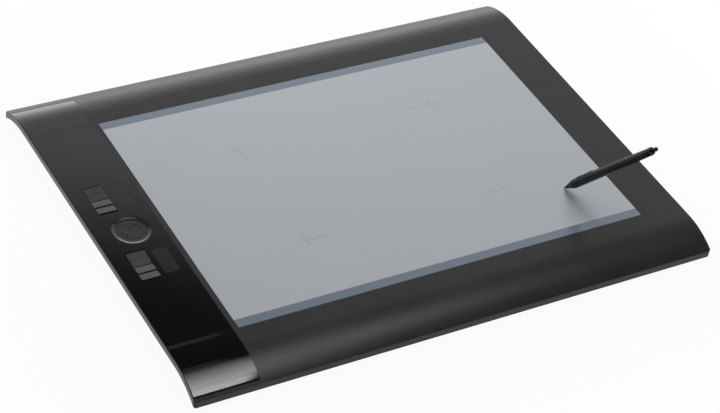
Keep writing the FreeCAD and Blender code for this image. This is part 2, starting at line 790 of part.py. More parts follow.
def make_bottom_casing():
    """Inset tray with sloped walls, ribs, screw bosses, foot seats and the bay of the cable inlets."""
    piece = Piece("bottom_casing")
    bevel_top = s.base_lift + s.bevel_height
    rim_depth = s.rim_height + s.rim_lap
    middle = tray_section(LAP_END, BASE_HALF_DEPTH, s.base_lift, bevel_top, s.wall_drop)
    rim = rim_section(LAP_END, rim_depth, s.wall_drop)
    piece.add("block", "YZ_Plane", -BASE_HALF_LENGTH, BASE_HALF_LENGTH, middle)
    piece.loft("PartDesign::AdditiveLoft", "left_side", (-BASE_HALF_LENGTH, middle), (LAP_LEFT, rim))
    piece.loft("PartDesign::AdditiveLoft", "right_side", (BASE_HALF_LENGTH, middle), (LAP_RIGHT, rim))
    wall_end = LAP_END - s.base_skin
    floor_end = BASE_HALF_DEPTH - s.base_skin * FLOOR_END_SHARE
    floor_half = BASE_HALF_LENGTH - s.base_skin * FLOOR_SIDE_SHARE
    hollow = tray_section(wall_end, floor_end, BASE_TOP, bevel_top + s.base_skin * BEVEL_SHARE, -SPARE)
    rim_hollow = rim_section(wall_end, rim_depth - s.base_skin * RIM_SHARE, -SPARE)
    piece.cut("hollow", "YZ_Plane", -floor_half, floor_half, hollow)
    piece.loft("PartDesign::SubtractiveLoft", "left_hollow",
               (-floor_half, hollow), (LAP_LEFT + s.base_skin, rim_hollow))
    piece.loft("PartDesign::SubtractiveLoft", "right_hollow",
               (floor_half, hollow), (LAP_RIGHT - s.base_skin, rim_hollow))
    bay_outer = BAY_HALF + s.bay_cheek
    piece.add("bay_block", "XY_Plane", s.base_lift, s.case_height - s.wall_drop,
              oblong(LAP_LEFT, BAY_WALL_INNER, -bay_outer, bay_outer))
    slope_top = s.case_height - rim_depth
    piece.cut("bay_slope", "XZ_Plane", -bay_outer, bay_outer,
              Loop([(-BASE_HALF_LENGTH, s.base_lift), (LAP_LEFT, slope_top), (LAP_LEFT - SPARE, slope_top),
                    (LAP_LEFT - SPARE, s.base_lift - SPARE), (-BASE_HALF_LENGTH, s.base_lift - SPARE)]))
    piece.cut("port_bay", "XY_Plane", BAY_FLOOR, BAY_ROOF,
              oblong(-HALF_LENGTH, BAY_WALL, -BAY_HALF, BAY_HALF))
    groove = s.cover_tongue + s.cover_gap
    groove_x = BAY_WALL - s.cover_gap - s.cover_skin / 2
    groove_half = s.cover_tongue / 2 + s.cover_gap
    piece.cut("cover_grooves", "XY_Plane", BAY_FLOOR - groove, BAY_ROOF + groove,
              oblong_at(groove_x, ZERO, groove_half, BAY_HALF))
    ports = [oblong(side * s.port_spacing / 2 - s.socket_width / 2 - s.socket_gap,
                    side * s.port_spacing / 2 + s.socket_width / 2 + s.socket_gap,
                    MAIN_BOARD_TOP - s.socket_gap,
                    MAIN_BOARD_TOP + s.socket_height + s.socket_gap) for side in (-1, 1)]
    piece.cut("port_holes", "YZ_Plane", BAY_WALL - s.cover_gap, BAY_WALL_INNER + SPARE, *ports)
    rib_left = SHIELD_LEFT + s.rib_left_step
    rib_right = SENSOR_RIGHT - s.rib_right_step
    rib_spacing = (rib_right - rib_left) / RIB_BAYS
    rib_top = SHIELD_UNDER - s.rib_gap
    half_rib = s.rib_skin / 2
    piece.add("cross_ribs", "XY_Plane", BASE_TOP, rib_top,
              *[oblong_at(rib_left + rib_spacing * step, ZERO, half_rib, s.rib_reach)
                for step in range(RIB_BAYS + 1)])
    piece.add("long_ribs", "XY_Plane", BASE_TOP, rib_top,
              *[oblong(rib_left, rib_right, y - half_rib, y + half_rib)
                for y in (-s.rib_row, s.rib_row)])
    piece.add("bosses", "XY_Plane", s.base_lift, s.boss_split - s.boss_gap,
              *rounds(screw_places(), s.boss_radius))
    piece.add("board_bosses", "XY_Plane", s.base_lift, MAIN_BOARD_UNDER,
              *rounds(board_screw_places(), s.small_boss_radius))
    piece.cut("screw_holes", "XY_Plane", s.base_lift - SPARE, s.boss_split + SPARE,
              *rounds(screw_places(), PLAY_RADIUS))
    piece.cut("head_seats", "XY_Plane", s.base_lift - SPARE, SCREW_SEAT_Z,
              *rounds(screw_places(), s.screw_head_radius + s.screw_play))
    piece.cut("board_pilots", "XY_Plane", MAIN_BOARD_UNDER - s.small_screw_grip - s.screw_play,
              MAIN_BOARD_UNDER + SPARE, *rounds(board_screw_places(), SMALL_PILOT_RADIUS))
    piece.cut("foot_seats", "XY_Plane", s.base_lift - SPARE, s.base_lift + s.foot_seat,
              *[oblong_at(x, y, s.foot_length / 2 + s.lap_gap, s.foot_width / 2 + s.lap_gap)
                for x, y in foot_places()])
    return piece


def make_end_cap(label, side):
    """Gloss cap that closes one end of the control column and wraps down the left side."""
    seam = FRONT_SEAM + s.panel_gap if side < 0 else REAR_SEAM + s.panel_gap
    outer = LIP_INNER - s.panel_gap
    front, back = (-outer, -seam) if side < 0 else (seam, outer)
    side_inner = s.panel_skin - HALF_LENGTH
    piece = Piece(label)
    piece.add("block", "YZ_Plane", -HALF_LENGTH, COLUMN_RIGHT, crown_band(front, back, ZERO, s.rim_height))
    piece.cut("hollow", "YZ_Plane", side_inner, COLUMN_RIGHT + SPARE,
              crown_band(front - SPARE, back + SPARE, s.panel_skin, RIM_CLEAR))
    piece.soften("left_edge", s.cap_edge_round, crown_rim((-HALF_LENGTH,), (), s.edge_round))
    piece.add("pegs", "XY_Plane", SHELF_UNDER - s.cap_peg_length, SHELF_UNDER,
              *rounds(cap_peg_places(side), s.cap_peg_radius))
    piece.add("peg_roots", "XY_Plane", SHELF_UNDER, PANEL_UNDER,
              *rounds(cap_peg_places(side), s.cap_peg_radius))
    return piece


def make_control_panel():
    """Gloss panel with the key wells, window openings and ring opening."""
    front = -FRONT_SEAM + s.panel_gap
    back = REAR_SEAM - s.panel_gap
    side_inner = s.panel_skin - HALF_LENGTH
    piece = Piece("control_panel")
    piece.add("plate", "XY_Plane", PANEL_UNDER, s.case_height,
              oblong(-HALF_LENGTH, COLUMN_RIGHT, front, back))
    piece.add("side_wall", "XY_Plane", s.case_height - s.rim_height, PANEL_UNDER,
              oblong(-HALF_LENGTH, side_inner, front, back))
    slope_back = front + s.panel_slope
    top = s.case_height
    slope_low = top - s.panel_slope_drop
    piece.cut("front_slope", "YZ_Plane", -HALF_LENGTH - SPARE, COLUMN_RIGHT + SPARE,
              Loop([(front - SPARE, slope_low), (front, slope_low), (slope_back, top),
                    (slope_back, top + SPARE), (front - SPARE, top + SPARE)]))
    openings = [Round(RING_X, ZERO, s.ring_radius + s.ring_gap)]
    slopes = []
    for side in (-1, 1):
        y = s.key_centre * side
        openings.append(oblong_at(KEY_X, y, WELL_HALF_WIDTH, WELL_HALF_DEPTH))
        openings.append(oblong(WINDOW_LEFT - s.ring_gap, WINDOW_RIGHT + s.ring_gap,
                               y - s.window_depth / 2 - s.ring_gap, y + s.window_depth / 2 + s.ring_gap))
        for end in (-1, 1):
            edge = y + WELL_HALF_DEPTH * end
            slopes.append(Loop([(edge, top - s.well_slope_drop), (edge + s.well_slope * end, top),
                                (edge + s.well_slope * end, top + SPARE),
                                (edge - SPARE * end, top + SPARE),
                                (edge - SPARE * end, top - s.well_slope_drop)]))
    piece.soften("left_edge", s.cap_edge_round, crown_rim((-HALF_LENGTH,), (), s.edge_round))
    piece.cut("openings", "XY_Plane", PANEL_UNDER - SPARE, top + SPARE, *openings)
    piece.cut("well_slopes", "YZ_Plane", KEY_X - WELL_HALF_WIDTH, KEY_X + WELL_HALF_WIDTH, *slopes)
    piece.add("pegs", "XY_Plane", KEY_BOARD_TOP, PANEL_UNDER, *rounds(peg_places(), s.peg_radius))
    piece.cut("peg_pilots", "XY_Plane", KEY_BOARD_TOP - SPARE,
              KEY_BOARD_TOP + s.small_screw_grip + s.screw_play,
              *rounds(peg_places(), SMALL_PILOT_RADIUS))
    return piece


def make_drawing_sheet():
    """Replaceable sheet, flush with the top face."""
    piece = Piece("drawing_sheet")
    piece.add("plate", "XY_Plane", SHEET_FLOOR, SHEET_TOP,
              oblong(SHEET_LEFT, SHEET_RIGHT, -SHEET_HALF_DEPTH, SHEET_HALF_DEPTH))
    return piece


def make_sensor_stack():
    """Pen-sensing board and the steel shield under it."""
    board = Piece("sensor_board")
    board.add("plate", "XY_Plane", SENSOR_UNDER, SENSOR_TOP,
              oblong(SENSOR_LEFT, SENSOR_RIGHT, -SENSOR_HALF_DEPTH, SENSOR_HALF_DEPTH))
    shield = Piece("shield_plate")
    shield.add("plate", "XY_Plane", SHIELD_UNDER, SHIELD_TOP,
               oblong(SHIELD_LEFT, SENSOR_RIGHT, -SENSOR_HALF_DEPTH, SENSOR_HALF_DEPTH))
    return board, shield


def key_label(number):
    """Return the name of a key, counted from the rear."""
    return f"key_{number}"


def key_places():
    """Return each key's label, place along Y and which way its top leans."""
    places = []
    number = 1
    for side in (1, -1):
        for step in KEY_STEPS:
            lean = 1 if step > 0 else -1
            places.append((key_label(number), s.key_centre * side + KEY_PITCH * step, lean))
            number += 1
    return places


def make_key(label, y, lean):
    """Key with a sloped top, side flanges that hold it under the panel, and a stem."""
    half_width = s.key_width / 2
    half_depth = s.key_depth / 2
    low = KEY_FLANGE_LOW
    outer_top = s.case_height + s.key_rise - low
    inner_top = s.case_height - s.key_fall - low
    front_top = inner_top if lean > 0 else outer_top
    back_top = outer_top if lean > 0 else inner_top
    piece = Piece(label)
    piece.add("cap", "YZ_Plane", -half_width, half_width,
              Loop([(-half_depth, ZERO), (half_depth, ZERO),
                    (half_depth, back_top), (-half_depth, front_top)]))
    piece.add("flange", "XY_Plane", ZERO, s.key_flange_skin,
              oblong_at(ZERO, ZERO, half_width + s.key_flange, half_depth - s.key_gap))
    piece.add("stem", "XY_Plane", STEM_LOW - low, ZERO, Round(ZERO, ZERO, s.key_stem_radius))
    piece.soften("top_edges", s.key_gap, level_at((front_top, back_top)))
    return piece.place(KEY_X, y, low)


def make_key_domes(label, side):
    """Silicone mat with one dome under each key of a group."""
    y = s.key_centre * side
    half_depth = WELL_HALF_DEPTH - s.key_gap
    piece = Piece(label)
    piece.add("mat", "XY_Plane", KEY_BOARD_TOP, DOME_SHEET_TOP,
              oblong_at(KEY_X, y, s.key_width / 2 - s.key_flange, half_depth))
    add_domes(piece, [(KEY_X, y + KEY_PITCH * step) for step in KEY_STEPS])
    return piece


def add_domes(piece, places):
    """Add solid domes that step in from their foot to their tip."""
    half_rise = s.dome_height / 2
    piece.add("feet", "XY_Plane", DOME_SHEET_TOP, DOME_SHEET_TOP + half_rise,
              *rounds(places, s.dome_radius))
    piece.add("tips", "XY_Plane", DOME_SHEET_TOP + half_rise, DOME_TOP,
              *rounds(places, s.dome_tip_radius))


def make_ring_dome():
    """Silicone dome under the ring's button."""
    piece = Piece("ring_dome")
    piece.add("mat", "XY_Plane", KEY_BOARD_TOP, DOME_SHEET_TOP,
              Round(RING_X, ZERO, s.ring_mat_radius))
    add_domes(piece, [(RING_X, ZERO)])
    return piece


def make_touch_ring():
    """Fixed dished ring that senses touch."""
    inner = s.button_radius + s.button_gap
    top = s.case_height
    bottom = SHELF_TOP + s.stack_gap
    piece = Piece("touch_ring")
    piece.turn("dish", Loop([
        (inner, bottom), (s.ring_radius, bottom), (s.ring_radius, top),
        (s.ring_radius - s.ring_land, top), (s.ring_dish_radius, top - s.ring_dish_drop),
        (inner, top - s.ring_inner_drop)]))
    return piece.place(RING_X, ZERO, ZERO)


def make_ring_sensor():
    """Printed electrode ring under the dish."""
    piece = Piece("ring_sensor")
    outer = s.ring_radius - s.ring_sensor_gap * 2
    inner = s.button_radius + s.button_flange + s.button_gap + s.ring_sensor_gap
    piece.add("plate", "XY_Plane", SHELF_TOP - s.ring_sensor_skin, SHELF_TOP,
              Round(RING_X, ZERO, outer), Round(RING_X, ZERO, inner))
    return piece


def make_ring_button():
    """Press button in the middle of the ring."""
    top = s.case_height - s.ring_inner_drop
    flange_top = SHELF_TOP + s.stack_gap - s.button_gap
    flange_low = flange_top - s.button_flange_skin
    radius = s.button_radius
    piece = Piece("ring_button")
    piece.turn("body", Loop([
        (ZERO, STEM_LOW), (s.key_stem_radius, STEM_LOW), (s.key_stem_radius, flange_low),
        (radius + s.button_flange, flange_low), (radius + s.button_flange, flange_top),
        (radius, flange_top), (radius, top - s.button_gap), (radius - s.button_gap, top), (ZERO, top)]))
    return piece.place(RING_X, ZERO, ZERO)


def make_display(label, side):
    """Small display on two end legs, under its window."""
    y = s.key_centre * side
    half_width = s.window_width / 2 - s.display_inset
    half_depth = s.window_depth / 2 - s.display_inset
    x = (WINDOW_LEFT + WINDOW_RIGHT) / 2
    top = SHELF_TOP - s.stack_gap
    piece = Piece(label)
    piece.add("block", "XY_Plane", KEY_BOARD_TOP, top, oblong_at(x, y, half_width, half_depth))
    piece.cut("underside", "XY_Plane", KEY_BOARD_TOP - SPARE, top - s.display_skin,
              oblong_at(x, y, half_width + SPARE, half_depth - s.display_leg))
    return piece


def make_window(label, side):
    """Satin window over a display."""
    y = s.key_centre * side
    piece = Piece(label)
    piece.add("plate", "XY_Plane", SHELF_TOP, s.case_height - s.window_drop,
              oblong(WINDOW_LEFT, WINDOW_RIGHT, y - s.window_depth / 2, y + s.window_depth / 2))
    return piece


def make_key_board():
    """Board that carries the dome contacts and the displays."""
    piece = Piece("key_board")
    piece.add("plate", "XY_Plane", KEY_BOARD_UNDER, KEY_BOARD_TOP,
              oblong(KEY_BOARD_LEFT, KEY_BOARD_RIGHT, -s.key_board_reach, s.key_board_reach))
    piece.cut("screw_holes", "XY_Plane", KEY_BOARD_UNDER - SPARE, KEY_BOARD_TOP + SPARE,
              *rounds(peg_places(), s.small_screw_radius + s.screw_play))
    return piece


def make_main_board():
    """Controller board behind the cable inlets."""
    piece = Piece("main_board")
    piece.add("plate", "XY_Plane", MAIN_BOARD_UNDER, MAIN_BOARD_TOP,
              oblong(MAIN_BOARD_LEFT, MAIN_BOARD_RIGHT, -s.main_board_reach, s.main_board_reach))
    piece.cut("screw_holes", "XY_Plane", MAIN_BOARD_UNDER - SPARE, MAIN_BOARD_TOP + SPARE,
              *rounds(board_screw_places(), s.small_screw_radius + s.screw_play))
    return piece


def make_main_chips():
    """Controller, memory, regulator and crystal on the main board."""
    half = s.chip_side / 2
    x = MAIN_BOARD_LEFT + s.main_board_length * CHIP_PLACE_SHARE
    chips = [oblong_at(x, ZERO, half, half)]
    for along, across, width, depth in SMALL_CHIPS:
        chips.append(oblong_at(x + half * along, half * across, half * width, half * depth))
    piece = Piece("main_chips")
    piece.add("blocks", "XY_Plane", MAIN_BOARD_TOP, MAIN_BOARD_TOP + s.chip_skin, *chips)
    return piece


def make_ribbon(label, x, y, upper, upper_step, lower, lower_step):
    """Flat ribbon with a bond at each end and an upright run at x between two levels."""
    skin = s.ribbon_skin
    piece = Piece(label)
    piece.add("upright", "XZ_Plane", y - s.ribbon_half_width, y + s.ribbon_half_width,
              oblong(x, x + skin, lower, upper))
    top_ends = (x + skin, x + upper_step) if upper_step.number > 0 else (x + upper_step, x)
    piece.add("upper_bond", "XZ_Plane", y - s.ribbon_half_width, y + s.ribbon_half_width,
              oblong(*top_ends, upper - skin, upper))
    low_ends = (x + skin, x + lower_step) if lower_step.number > 0 else (x + lower_step, x)
    piece.add("lower_bond", "XZ_Plane", y - s.ribbon_half_width, y + s.ribbon_half_width,
              oblong(*low_ends, lower, lower + skin))
    return piece


def make_ribbons():
    """Ribbons from the key board and from the sensor board down to the main board."""
    key_x = KEY_BOARD_RIGHT + s.key_ribbon_step
    make_ribbon("flat_cable", key_x, ZERO, KEY_BOARD_UNDER, -s.key_ribbon_reach,
                MAIN_BOARD_TOP, s.ribbon_bond)
    sensor_x = SENSOR_LEFT + s.ribbon_skin
    make_ribbon("sensor_cable", sensor_x, s.sensor_ribbon_side, SENSOR_UNDER, s.sensor_ribbon_reach,
                MAIN_BOARD_TOP, s.ribbon_bond)


def make_socket(label, side):
    """Small cable inlet with a mouth and an inner tongue."""
    y = s.port_spacing / 2 * side
    low = MAIN_BOARD_TOP
    high = low + s.socket_height
    wall = s.socket_wall
    piece = Piece(label)
    piece.add("shell", "YZ_Plane", BAY_WALL, BAY_WALL + s.socket_depth,
              oblong(y - s.socket_width / 2, y + s.socket_width / 2, low, high))
    piece.cut("mouth", "YZ_Plane", BAY_WALL - SPARE, BAY_WALL + s.socket_mouth,
              oblong(y - s.socket_width / 2 + wall, y + s.socket_width / 2 - wall, low + wall, high - wall))
    middle = (low + high) / 2
    piece.add("tongue", "YZ_Plane", BAY_WALL + wall, BAY_WALL + s.socket_mouth,
              oblong(y - s.tongue_width / 2, y + s.tongue_width / 2,
                     middle - s.tongue_skin / 2, middle + s.tongue_skin / 2))
    return piece


def make_port_cover():
    """Sliding cover over the rear inlet, with a tongue in each groove of the bay."""
    y = s.port_spacing / 2
    x = (COVER_OUTER + COVER_INNER) / 2
    half = s.cover_skin / 2
    piece = Piece("port_cover")
    piece.add("plate", "XY_Plane", COVER_LOW, COVER_HIGH, oblong_at(x, y, half, s.cover_half))
    piece.add("tongues", "XY_Plane", COVER_LOW - s.cover_tongue, COVER_HIGH + s.cover_tongue,
              oblong_at(x, y, s.cover_tongue / 2, s.cover_half))
    return piece


def make_feet():
    """Rubber feet in their seats under the bottom casing."""
    piece = Piece("rubber_feet")
    half_length = s.foot_length / 2
    half_width = s.foot_width / 2
    piece.add("pads", "XY_Plane", ZERO, s.base_lift + s.foot_seat,
              *[oblong_at(x, y, half_length, half_width) for x, y in foot_places()])
    corners = [(x + half_length * a, y + half_width * b)
               for x, y in foot_places() for a in (-1, 1) for b in (-1, 1)]
    piece.soften("corners", s.foot_round,
                 lambda edge: any(upright_at(x, y)(edge) for x, y in corners))
    return piece


def make_screws(label, places, radius, head_radius, head_end, seat, tip):
    """Screws with flat heads at the seat and shanks up or down to the tip."""
    piece = Piece(label)
    upward = head_end.number < seat.number
    low, high = (head_end, seat) if upward else (seat, head_end)
    shank_low, shank_high = (seat, tip) if upward else (tip, seat)
    piece.add("heads", "XY_Plane", low, high, *rounds(places, head_radius))
    piece.add("shanks", "XY_Plane", shank_low, shank_high, *rounds(places, radius))
    slot_deep = (high - low) * SLOT_DEPTH_SHARE
    slot_low = low - SPARE if upward else high - slot_deep
    slot_high = low + slot_deep if upward else high + SPARE
    piece.cut("slots", "XY_Plane", slot_low, slot_high,
              *[oblong_at(x, y, head_radius * SLOT_LENGTH_SHARE, head_radius * SLOT_WIDTH_SHARE)
                for x, y in places])
    return piece


def make_all_screws():
    """Casing screws from below, key board screws from below, main board screws from above."""
    make_screws("casing_screws", screw_places(), s.screw_radius, s.screw_head_radius,
                SCREW_SEAT_Z - s.screw_head_skin, SCREW_SEAT_Z, SCREW_TOP)
    make_screws("panel_screws", peg_places(), s.small_screw_radius, s.small_head_radius,
                KEY_BOARD_UNDER - s.small_head_skin, KEY_BOARD_UNDER, KEY_BOARD_TOP + s.small_screw_grip)
    make_screws("board_screws", board_screw_places(), s.small_screw_radius, s.small_head_radius,
                MAIN_BOARD_TOP + s.small_head_skin, MAIN_BOARD_TOP, MAIN_BOARD_UNDER - s.small_screw_grip)


def pen_rotation():
    """Return the turn that lays the pen's own Z axis along the pen in its resting pose."""
    heading = Rotation(Vector(0, 0, 1), s.pen_heading.number)
    lean = Rotation(Vector(0, 1, 0), 90 - s.pen_altitude.number)
    roll = Rotation(Vector(0, 0, 1), s.pen_roll.number)
    return heading * lean * roll


def place_pen_piece(piece):
    """Stand a pen piece on the drawing sheet at the pen's resting pose."""
    ball_drop = 1 - math.sin(math.radians(s.pen_altitude.number))
    tip_z = SHEET_TOP + s.pen_rest_gap + s.nib_radius * ball_drop
    return piece.place(PEN_TIP_X, PEN_TIP_Y, tip_z, pen_rotation())


def make_nib():
    """Replaceable nib with a ball point."""
    r = s.nib_radius
    piece = Piece("pen_nib")
    piece.turn("rod", Loop([(ZERO, ZERO), (Free(r.number), r), (r, NIB_END), (ZERO, NIB_END)],
                           [(ZERO, r), None, None, None]))
    return place_pen_piece(piece)


def make_nose_cone():
    """Gloss cone with a bush for the nib and a spigot into the lower barrel."""
    bush = s.nib_radius + s.nib_bush_gap
    spigot_end = s.cone_end + s.cone_spigot_length
    piece = Piece("pen_nose_cone")
    piece.turn("shell", Loop([
        (bush, s.mouth_place), (s.mouth_radius - s.mouth_bevel, s.mouth_place),
        (s.mouth_radius, s.mouth_place + s.mouth_bevel_length),
        (s.cone_belly_radius, s.cone_belly_place), (s.cone_radius, s.cone_end),
        (s.cone_spigot_radius, s.cone_end), (s.cone_spigot_radius, spigot_end), (s.cone_bore, spigot_end),
        (s.cone_bore, s.cone_end - s.cone_wall), (s.cone_belly_radius - s.cone_wall, s.cone_belly_place),
        (s.mouth_radius, s.mouth_place + s.mouth_length), (bush, s.mouth_place + s.mouth_length)]))
    return place_pen_piece(piece)


def make_lower_barrel():
    """Lower barrel with the slot and pivot holes of the side switch."""
    start = s.cone_end + s.pen_gap
    end = BARREL_SEAM - s.pen_gap
    bore = s.spigot_radius + s.pen_gap
    front_bore = s.cone_spigot_radius + s.pen_gap
    piece = Piece("pen_lower_barrel")
    piece.turn("tube", Loop([
        (front_bore, start), (s.cone_radius + s.pen_gap, start), (s.grip_radius, GRIP_PLACE),
        (s.grip_radius, SWITCH_END + s.pen_gap), (s.barrel_seam_radius, end), (bore, end),
        (bore, GRIP_PLACE), (front_bore, GRIP_PLACE)]))
    half = s.switch_half_width + s.switch_gap
    piece.cut("switch_slot", "XY_Plane", SWITCH_START - s.switch_gap, SWITCH_END + s.switch_gap,
              oblong(s.switch_pin_radius, s.grip_radius + SPARE, -half, half))
    pin_room = s.switch_pin_reach + s.pen_gap
    piece.cut("pivot_holes", "XZ_Plane", -pin_room, pin_room,
              Round(s.switch_pin_level, SWITCH_MIDDLE, s.switch_pin_radius + s.switch_pin_gap))
    return place_pen_piece(piece)


def make_upper_barrel():
    """Matte upper barrel with a spigot into the lower barrel."""
    end = UPPER_END - s.pen_gap
    piece = Piece("pen_upper_barrel")
    piece.turn("tube", Loop([
        (UPPER_BORE, UPPER_SPIGOT_START), (s.spigot_radius, UPPER_SPIGOT_START),
        (s.spigot_radius, BARREL_SEAM), (s.barrel_seam_radius, BARREL_SEAM),
        (s.upper_end_radius, end), (UPPER_BORE, end)]))
    return place_pen_piece(piece)


def make_tail_collar():
    """Gloss collar that holds the eraser in the tail."""
    room = s.eraser_flange_radius + s.pen_gap
    flange_stop = UPPER_END + s.eraser_stop_step
    flare = s.upper_end_radius + s.collar_flare
    piece = Piece("pen_tail_collar")
    piece.turn("shell", Loop([
        (room, COLLAR_SPIGOT_START), (COLLAR_SPIGOT_RADIUS, COLLAR_SPIGOT_START),
        (COLLAR_SPIGOT_RADIUS, UPPER_END), (s.upper_end_radius, UPPER_END),
        (flare, UPPER_END + s.collar_step), (flare, COLLAR_END - s.collar_taper_length),
        (s.collar_end_radius, COLLAR_END), (COLLAR_BORE, COLLAR_END),
        (COLLAR_BORE, flange_stop), (room, flange_stop)]))
    return place_pen_piece(piece)


def make_eraser():
    """Ball-ended eraser button with a flange behind the collar."""
    stem = s.eraser_stem_radius
    flange_top = UPPER_END + s.eraser_flange_step
    flange_low = flange_top - s.eraser_flange_skin
    ball = s.eraser_radius
    meet = ERASER_CENTRE.number - math.sqrt(ball.number ** 2 - stem.number ** 2)
    crown = ERASER_CENTRE + ball
    piece = Piece("pen_eraser")
    piece.turn("button", Loop([
        (ZERO, ERASER_STEM_START), (stem, ERASER_STEM_START), (stem, flange_low),
        (s.eraser_flange_radius, flange_low), (s.eraser_flange_radius, flange_top),
        (stem, flange_top), (stem, Free(meet)), (ball, ERASER_CENTRE), (ZERO, Free(crown.number))],
        [None] * 6 + [(ZERO, ERASER_CENTRE), (ZERO, ERASER_CENTRE), None]))
    return place_pen_piece(piece)


def make_side_switch():
    """Rocking switch with a lug and two pivot pins."""
    half = s.switch_half_width
    piece = Piece("pen_side_switch")
    piece.add("bar", "XZ_Plane", -half, half, Loop([
        (s.switch_low, SWITCH_START), (s.grip_radius, SWITCH_START),
        (s.switch_top, SWITCH_START + s.switch_start_ramp),
        (s.switch_valley_top, SWITCH_MIDDLE - s.switch_flat_half),
        (s.switch_valley_top, SWITCH_MIDDLE + s.switch_flat_half),
        (s.switch_top, SWITCH_END - s.switch_end_ramp), (s.switch_end_top, SWITCH_END),
        (s.switch_low, SWITCH_END)]))
    piece.add("lug", "XZ_Plane", -half, half,
              oblong(s.switch_lug_low, s.switch_low, SWITCH_MIDDLE - s.switch_lug_half,
                     SWITCH_MIDDLE + s.switch_lug_half))
    piece.add("pins", "XZ_Plane", -s.switch_pin_reach, s.switch_pin_reach,
              Round(s.switch_pin_level, SWITCH_MIDDLE, s.switch_pin_radius))
    return place_pen_piece(piece)


def make_pen_inner():
    """Ferrite, winding, force sensor, board and eraser contact block."""
    ferrite = Piece("pen_ferrite")
    ferrite.turn("tube", oblong(s.ferrite_bore, s.ferrite_radius, FERRITE_START, FERRITE_END))
    coil = Piece("pen_coil")
    winding = s.ferrite_radius + s.core_gap
    coil.turn("winding", oblong(winding, winding + s.coil_skin, COIL_START, COIL_END))
    force = Piece("pen_pressure_sensor")
    force.turn("block", oblong(ZERO, s.force_block_radius, FORCE_START, FORCE_END))
    board = Piece("pen_board")
    level = -s.pen_board_level
    board.add("plate", "XY_Plane", FORCE_END, PEN_BOARD_END,
              oblong(level - s.pen_board_skin, level, -s.pen_board_half_width, s.pen_board_half_width))
    block = Piece("pen_eraser_sensor")
    block.turn("block", oblong(ZERO, s.eraser_flange_radius, PEN_BOARD_END, ERASER_BLOCK_END))
    for piece in (ferrite, coil, force, board, block):
        place_pen_piece(piece)


def check(objects):
    """Stop if any object failed or any sub-part has no valid shape."""
    failed = [thing.Label for thing in objects if {"Invalid", "Error"} & set(thing.State)]
    for thing in objects:
        if thing.TypeId == "PartDesign::Body" and (thing.Shape.isNull() or not thing.Shape.isValid()):
            failed.append(f"{thing.Label} has no valid shape")
    if failed:
        raise ValueError(", ".join(failed))


def main():
    """Build every sub-part, check it and write its file."""
    make_top_casing()
    make_bottom_casing()
    make_end_cap("rear_end_cap", 1)
    make_end_cap("front_end_cap", -1)
    make_control_panel()
    make_drawing_sheet()
    make_sensor_stack()
    for place in key_places():
        make_key(*place)
    make_key_domes("key_domes_rear", 1)
    make_key_domes("key_domes_front", -1)
    make_ring_dome()
    make_touch_ring()
    make_ring_sensor()
    make_ring_button()
    for end, side in (("rear", 1), ("front", -1)):
        make_display(f"display_module_{end}", side)
        make_window(f"display_window_{end}", side)
        make_socket(f"usb_socket_{end}", side)
    make_key_board()
    make_main_board()
    make_main_chips()
    make_ribbons()
    make_port_cover()
    make_feet()
    make_all_screws()
    make_nib()
    make_nose_cone()
    make_lower_barrel()
    make_upper_barrel()
    make_tail_collar()
    make_eraser()
    make_side_switch()
    make_pen_inner()
    doc.recompute()
    check(doc.Objects)
    os.makedirs("parts", exist_ok=True)
    bodies = [thing for thing in doc.Objects if thing.TypeId == "PartDesign::Body"]
    for body in bodies:
        body.Shape.exportStep(os.path.join("parts", f"{body.Label}.step"))
        print(f"{body.Label}: {len(body.Shape.Solids)} solid(s), {body.Shape.Volume / 1000:.2f} cm3")


main()
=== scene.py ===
import logging
import math
from collections.abc import Callable, Iterable, Sequence
from dataclasses import dataclass
from enum import Enum
from functools import cached_property, reduce

import bmesh
import bpy
from bmesh.types import BMEdge, BMFace, BMVert
from mathutils import Matrix, Vector


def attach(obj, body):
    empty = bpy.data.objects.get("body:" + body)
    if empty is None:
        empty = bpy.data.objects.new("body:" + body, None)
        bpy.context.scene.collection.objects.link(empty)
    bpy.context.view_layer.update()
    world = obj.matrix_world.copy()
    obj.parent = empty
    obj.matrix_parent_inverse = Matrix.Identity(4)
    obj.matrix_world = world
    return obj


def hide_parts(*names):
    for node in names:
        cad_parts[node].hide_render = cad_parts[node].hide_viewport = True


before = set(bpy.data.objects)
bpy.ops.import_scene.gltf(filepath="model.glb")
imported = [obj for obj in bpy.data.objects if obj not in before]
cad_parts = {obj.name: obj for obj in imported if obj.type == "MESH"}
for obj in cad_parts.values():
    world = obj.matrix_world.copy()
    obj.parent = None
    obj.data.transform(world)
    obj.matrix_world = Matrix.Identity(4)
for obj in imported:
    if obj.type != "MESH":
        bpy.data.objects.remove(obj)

# Pieces and patterns are in millimetres until Form.piece makes a mesh in metres. The studio is in metres.
LOG = logging.getLogger("graphics_tablet")
MM = 0.001
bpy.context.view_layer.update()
MERGE = 1e-4
SLIVER = MERGE / 10
NEAR = 0.01
SHARP_ANGLE = 30.0
SMOOTH_ANGLE = 32.0
SHADING_WEIGHT = 80
WHITE = (1.0, 1.0, 1.0)

Colour = tuple[float, float, float]
Point = tuple[float, float]
Place = tuple[float, float, float]
Line = tuple[Point, ...]


class Side(Enum):
    """The two ends of the tablet, with their sign along Y."""

    REAR = 1
    FRONT = -1

    @property
    def word(self) -> str:
        """Return the end's name as the nodes' names have it."""
        return self.name.lower()


class Slot(Enum):
    """Material slots of the record."""

    CASING = "matte_casing"
    PANEL = "gloss_panel"
    KEY = "key"
    RUBBER = "foot_rubber"
    SILICONE = "silicone"
    PEN_GLOSS = "pen_gloss"
    PEN_MATTE = "pen_matte"
    NIB = "nib"


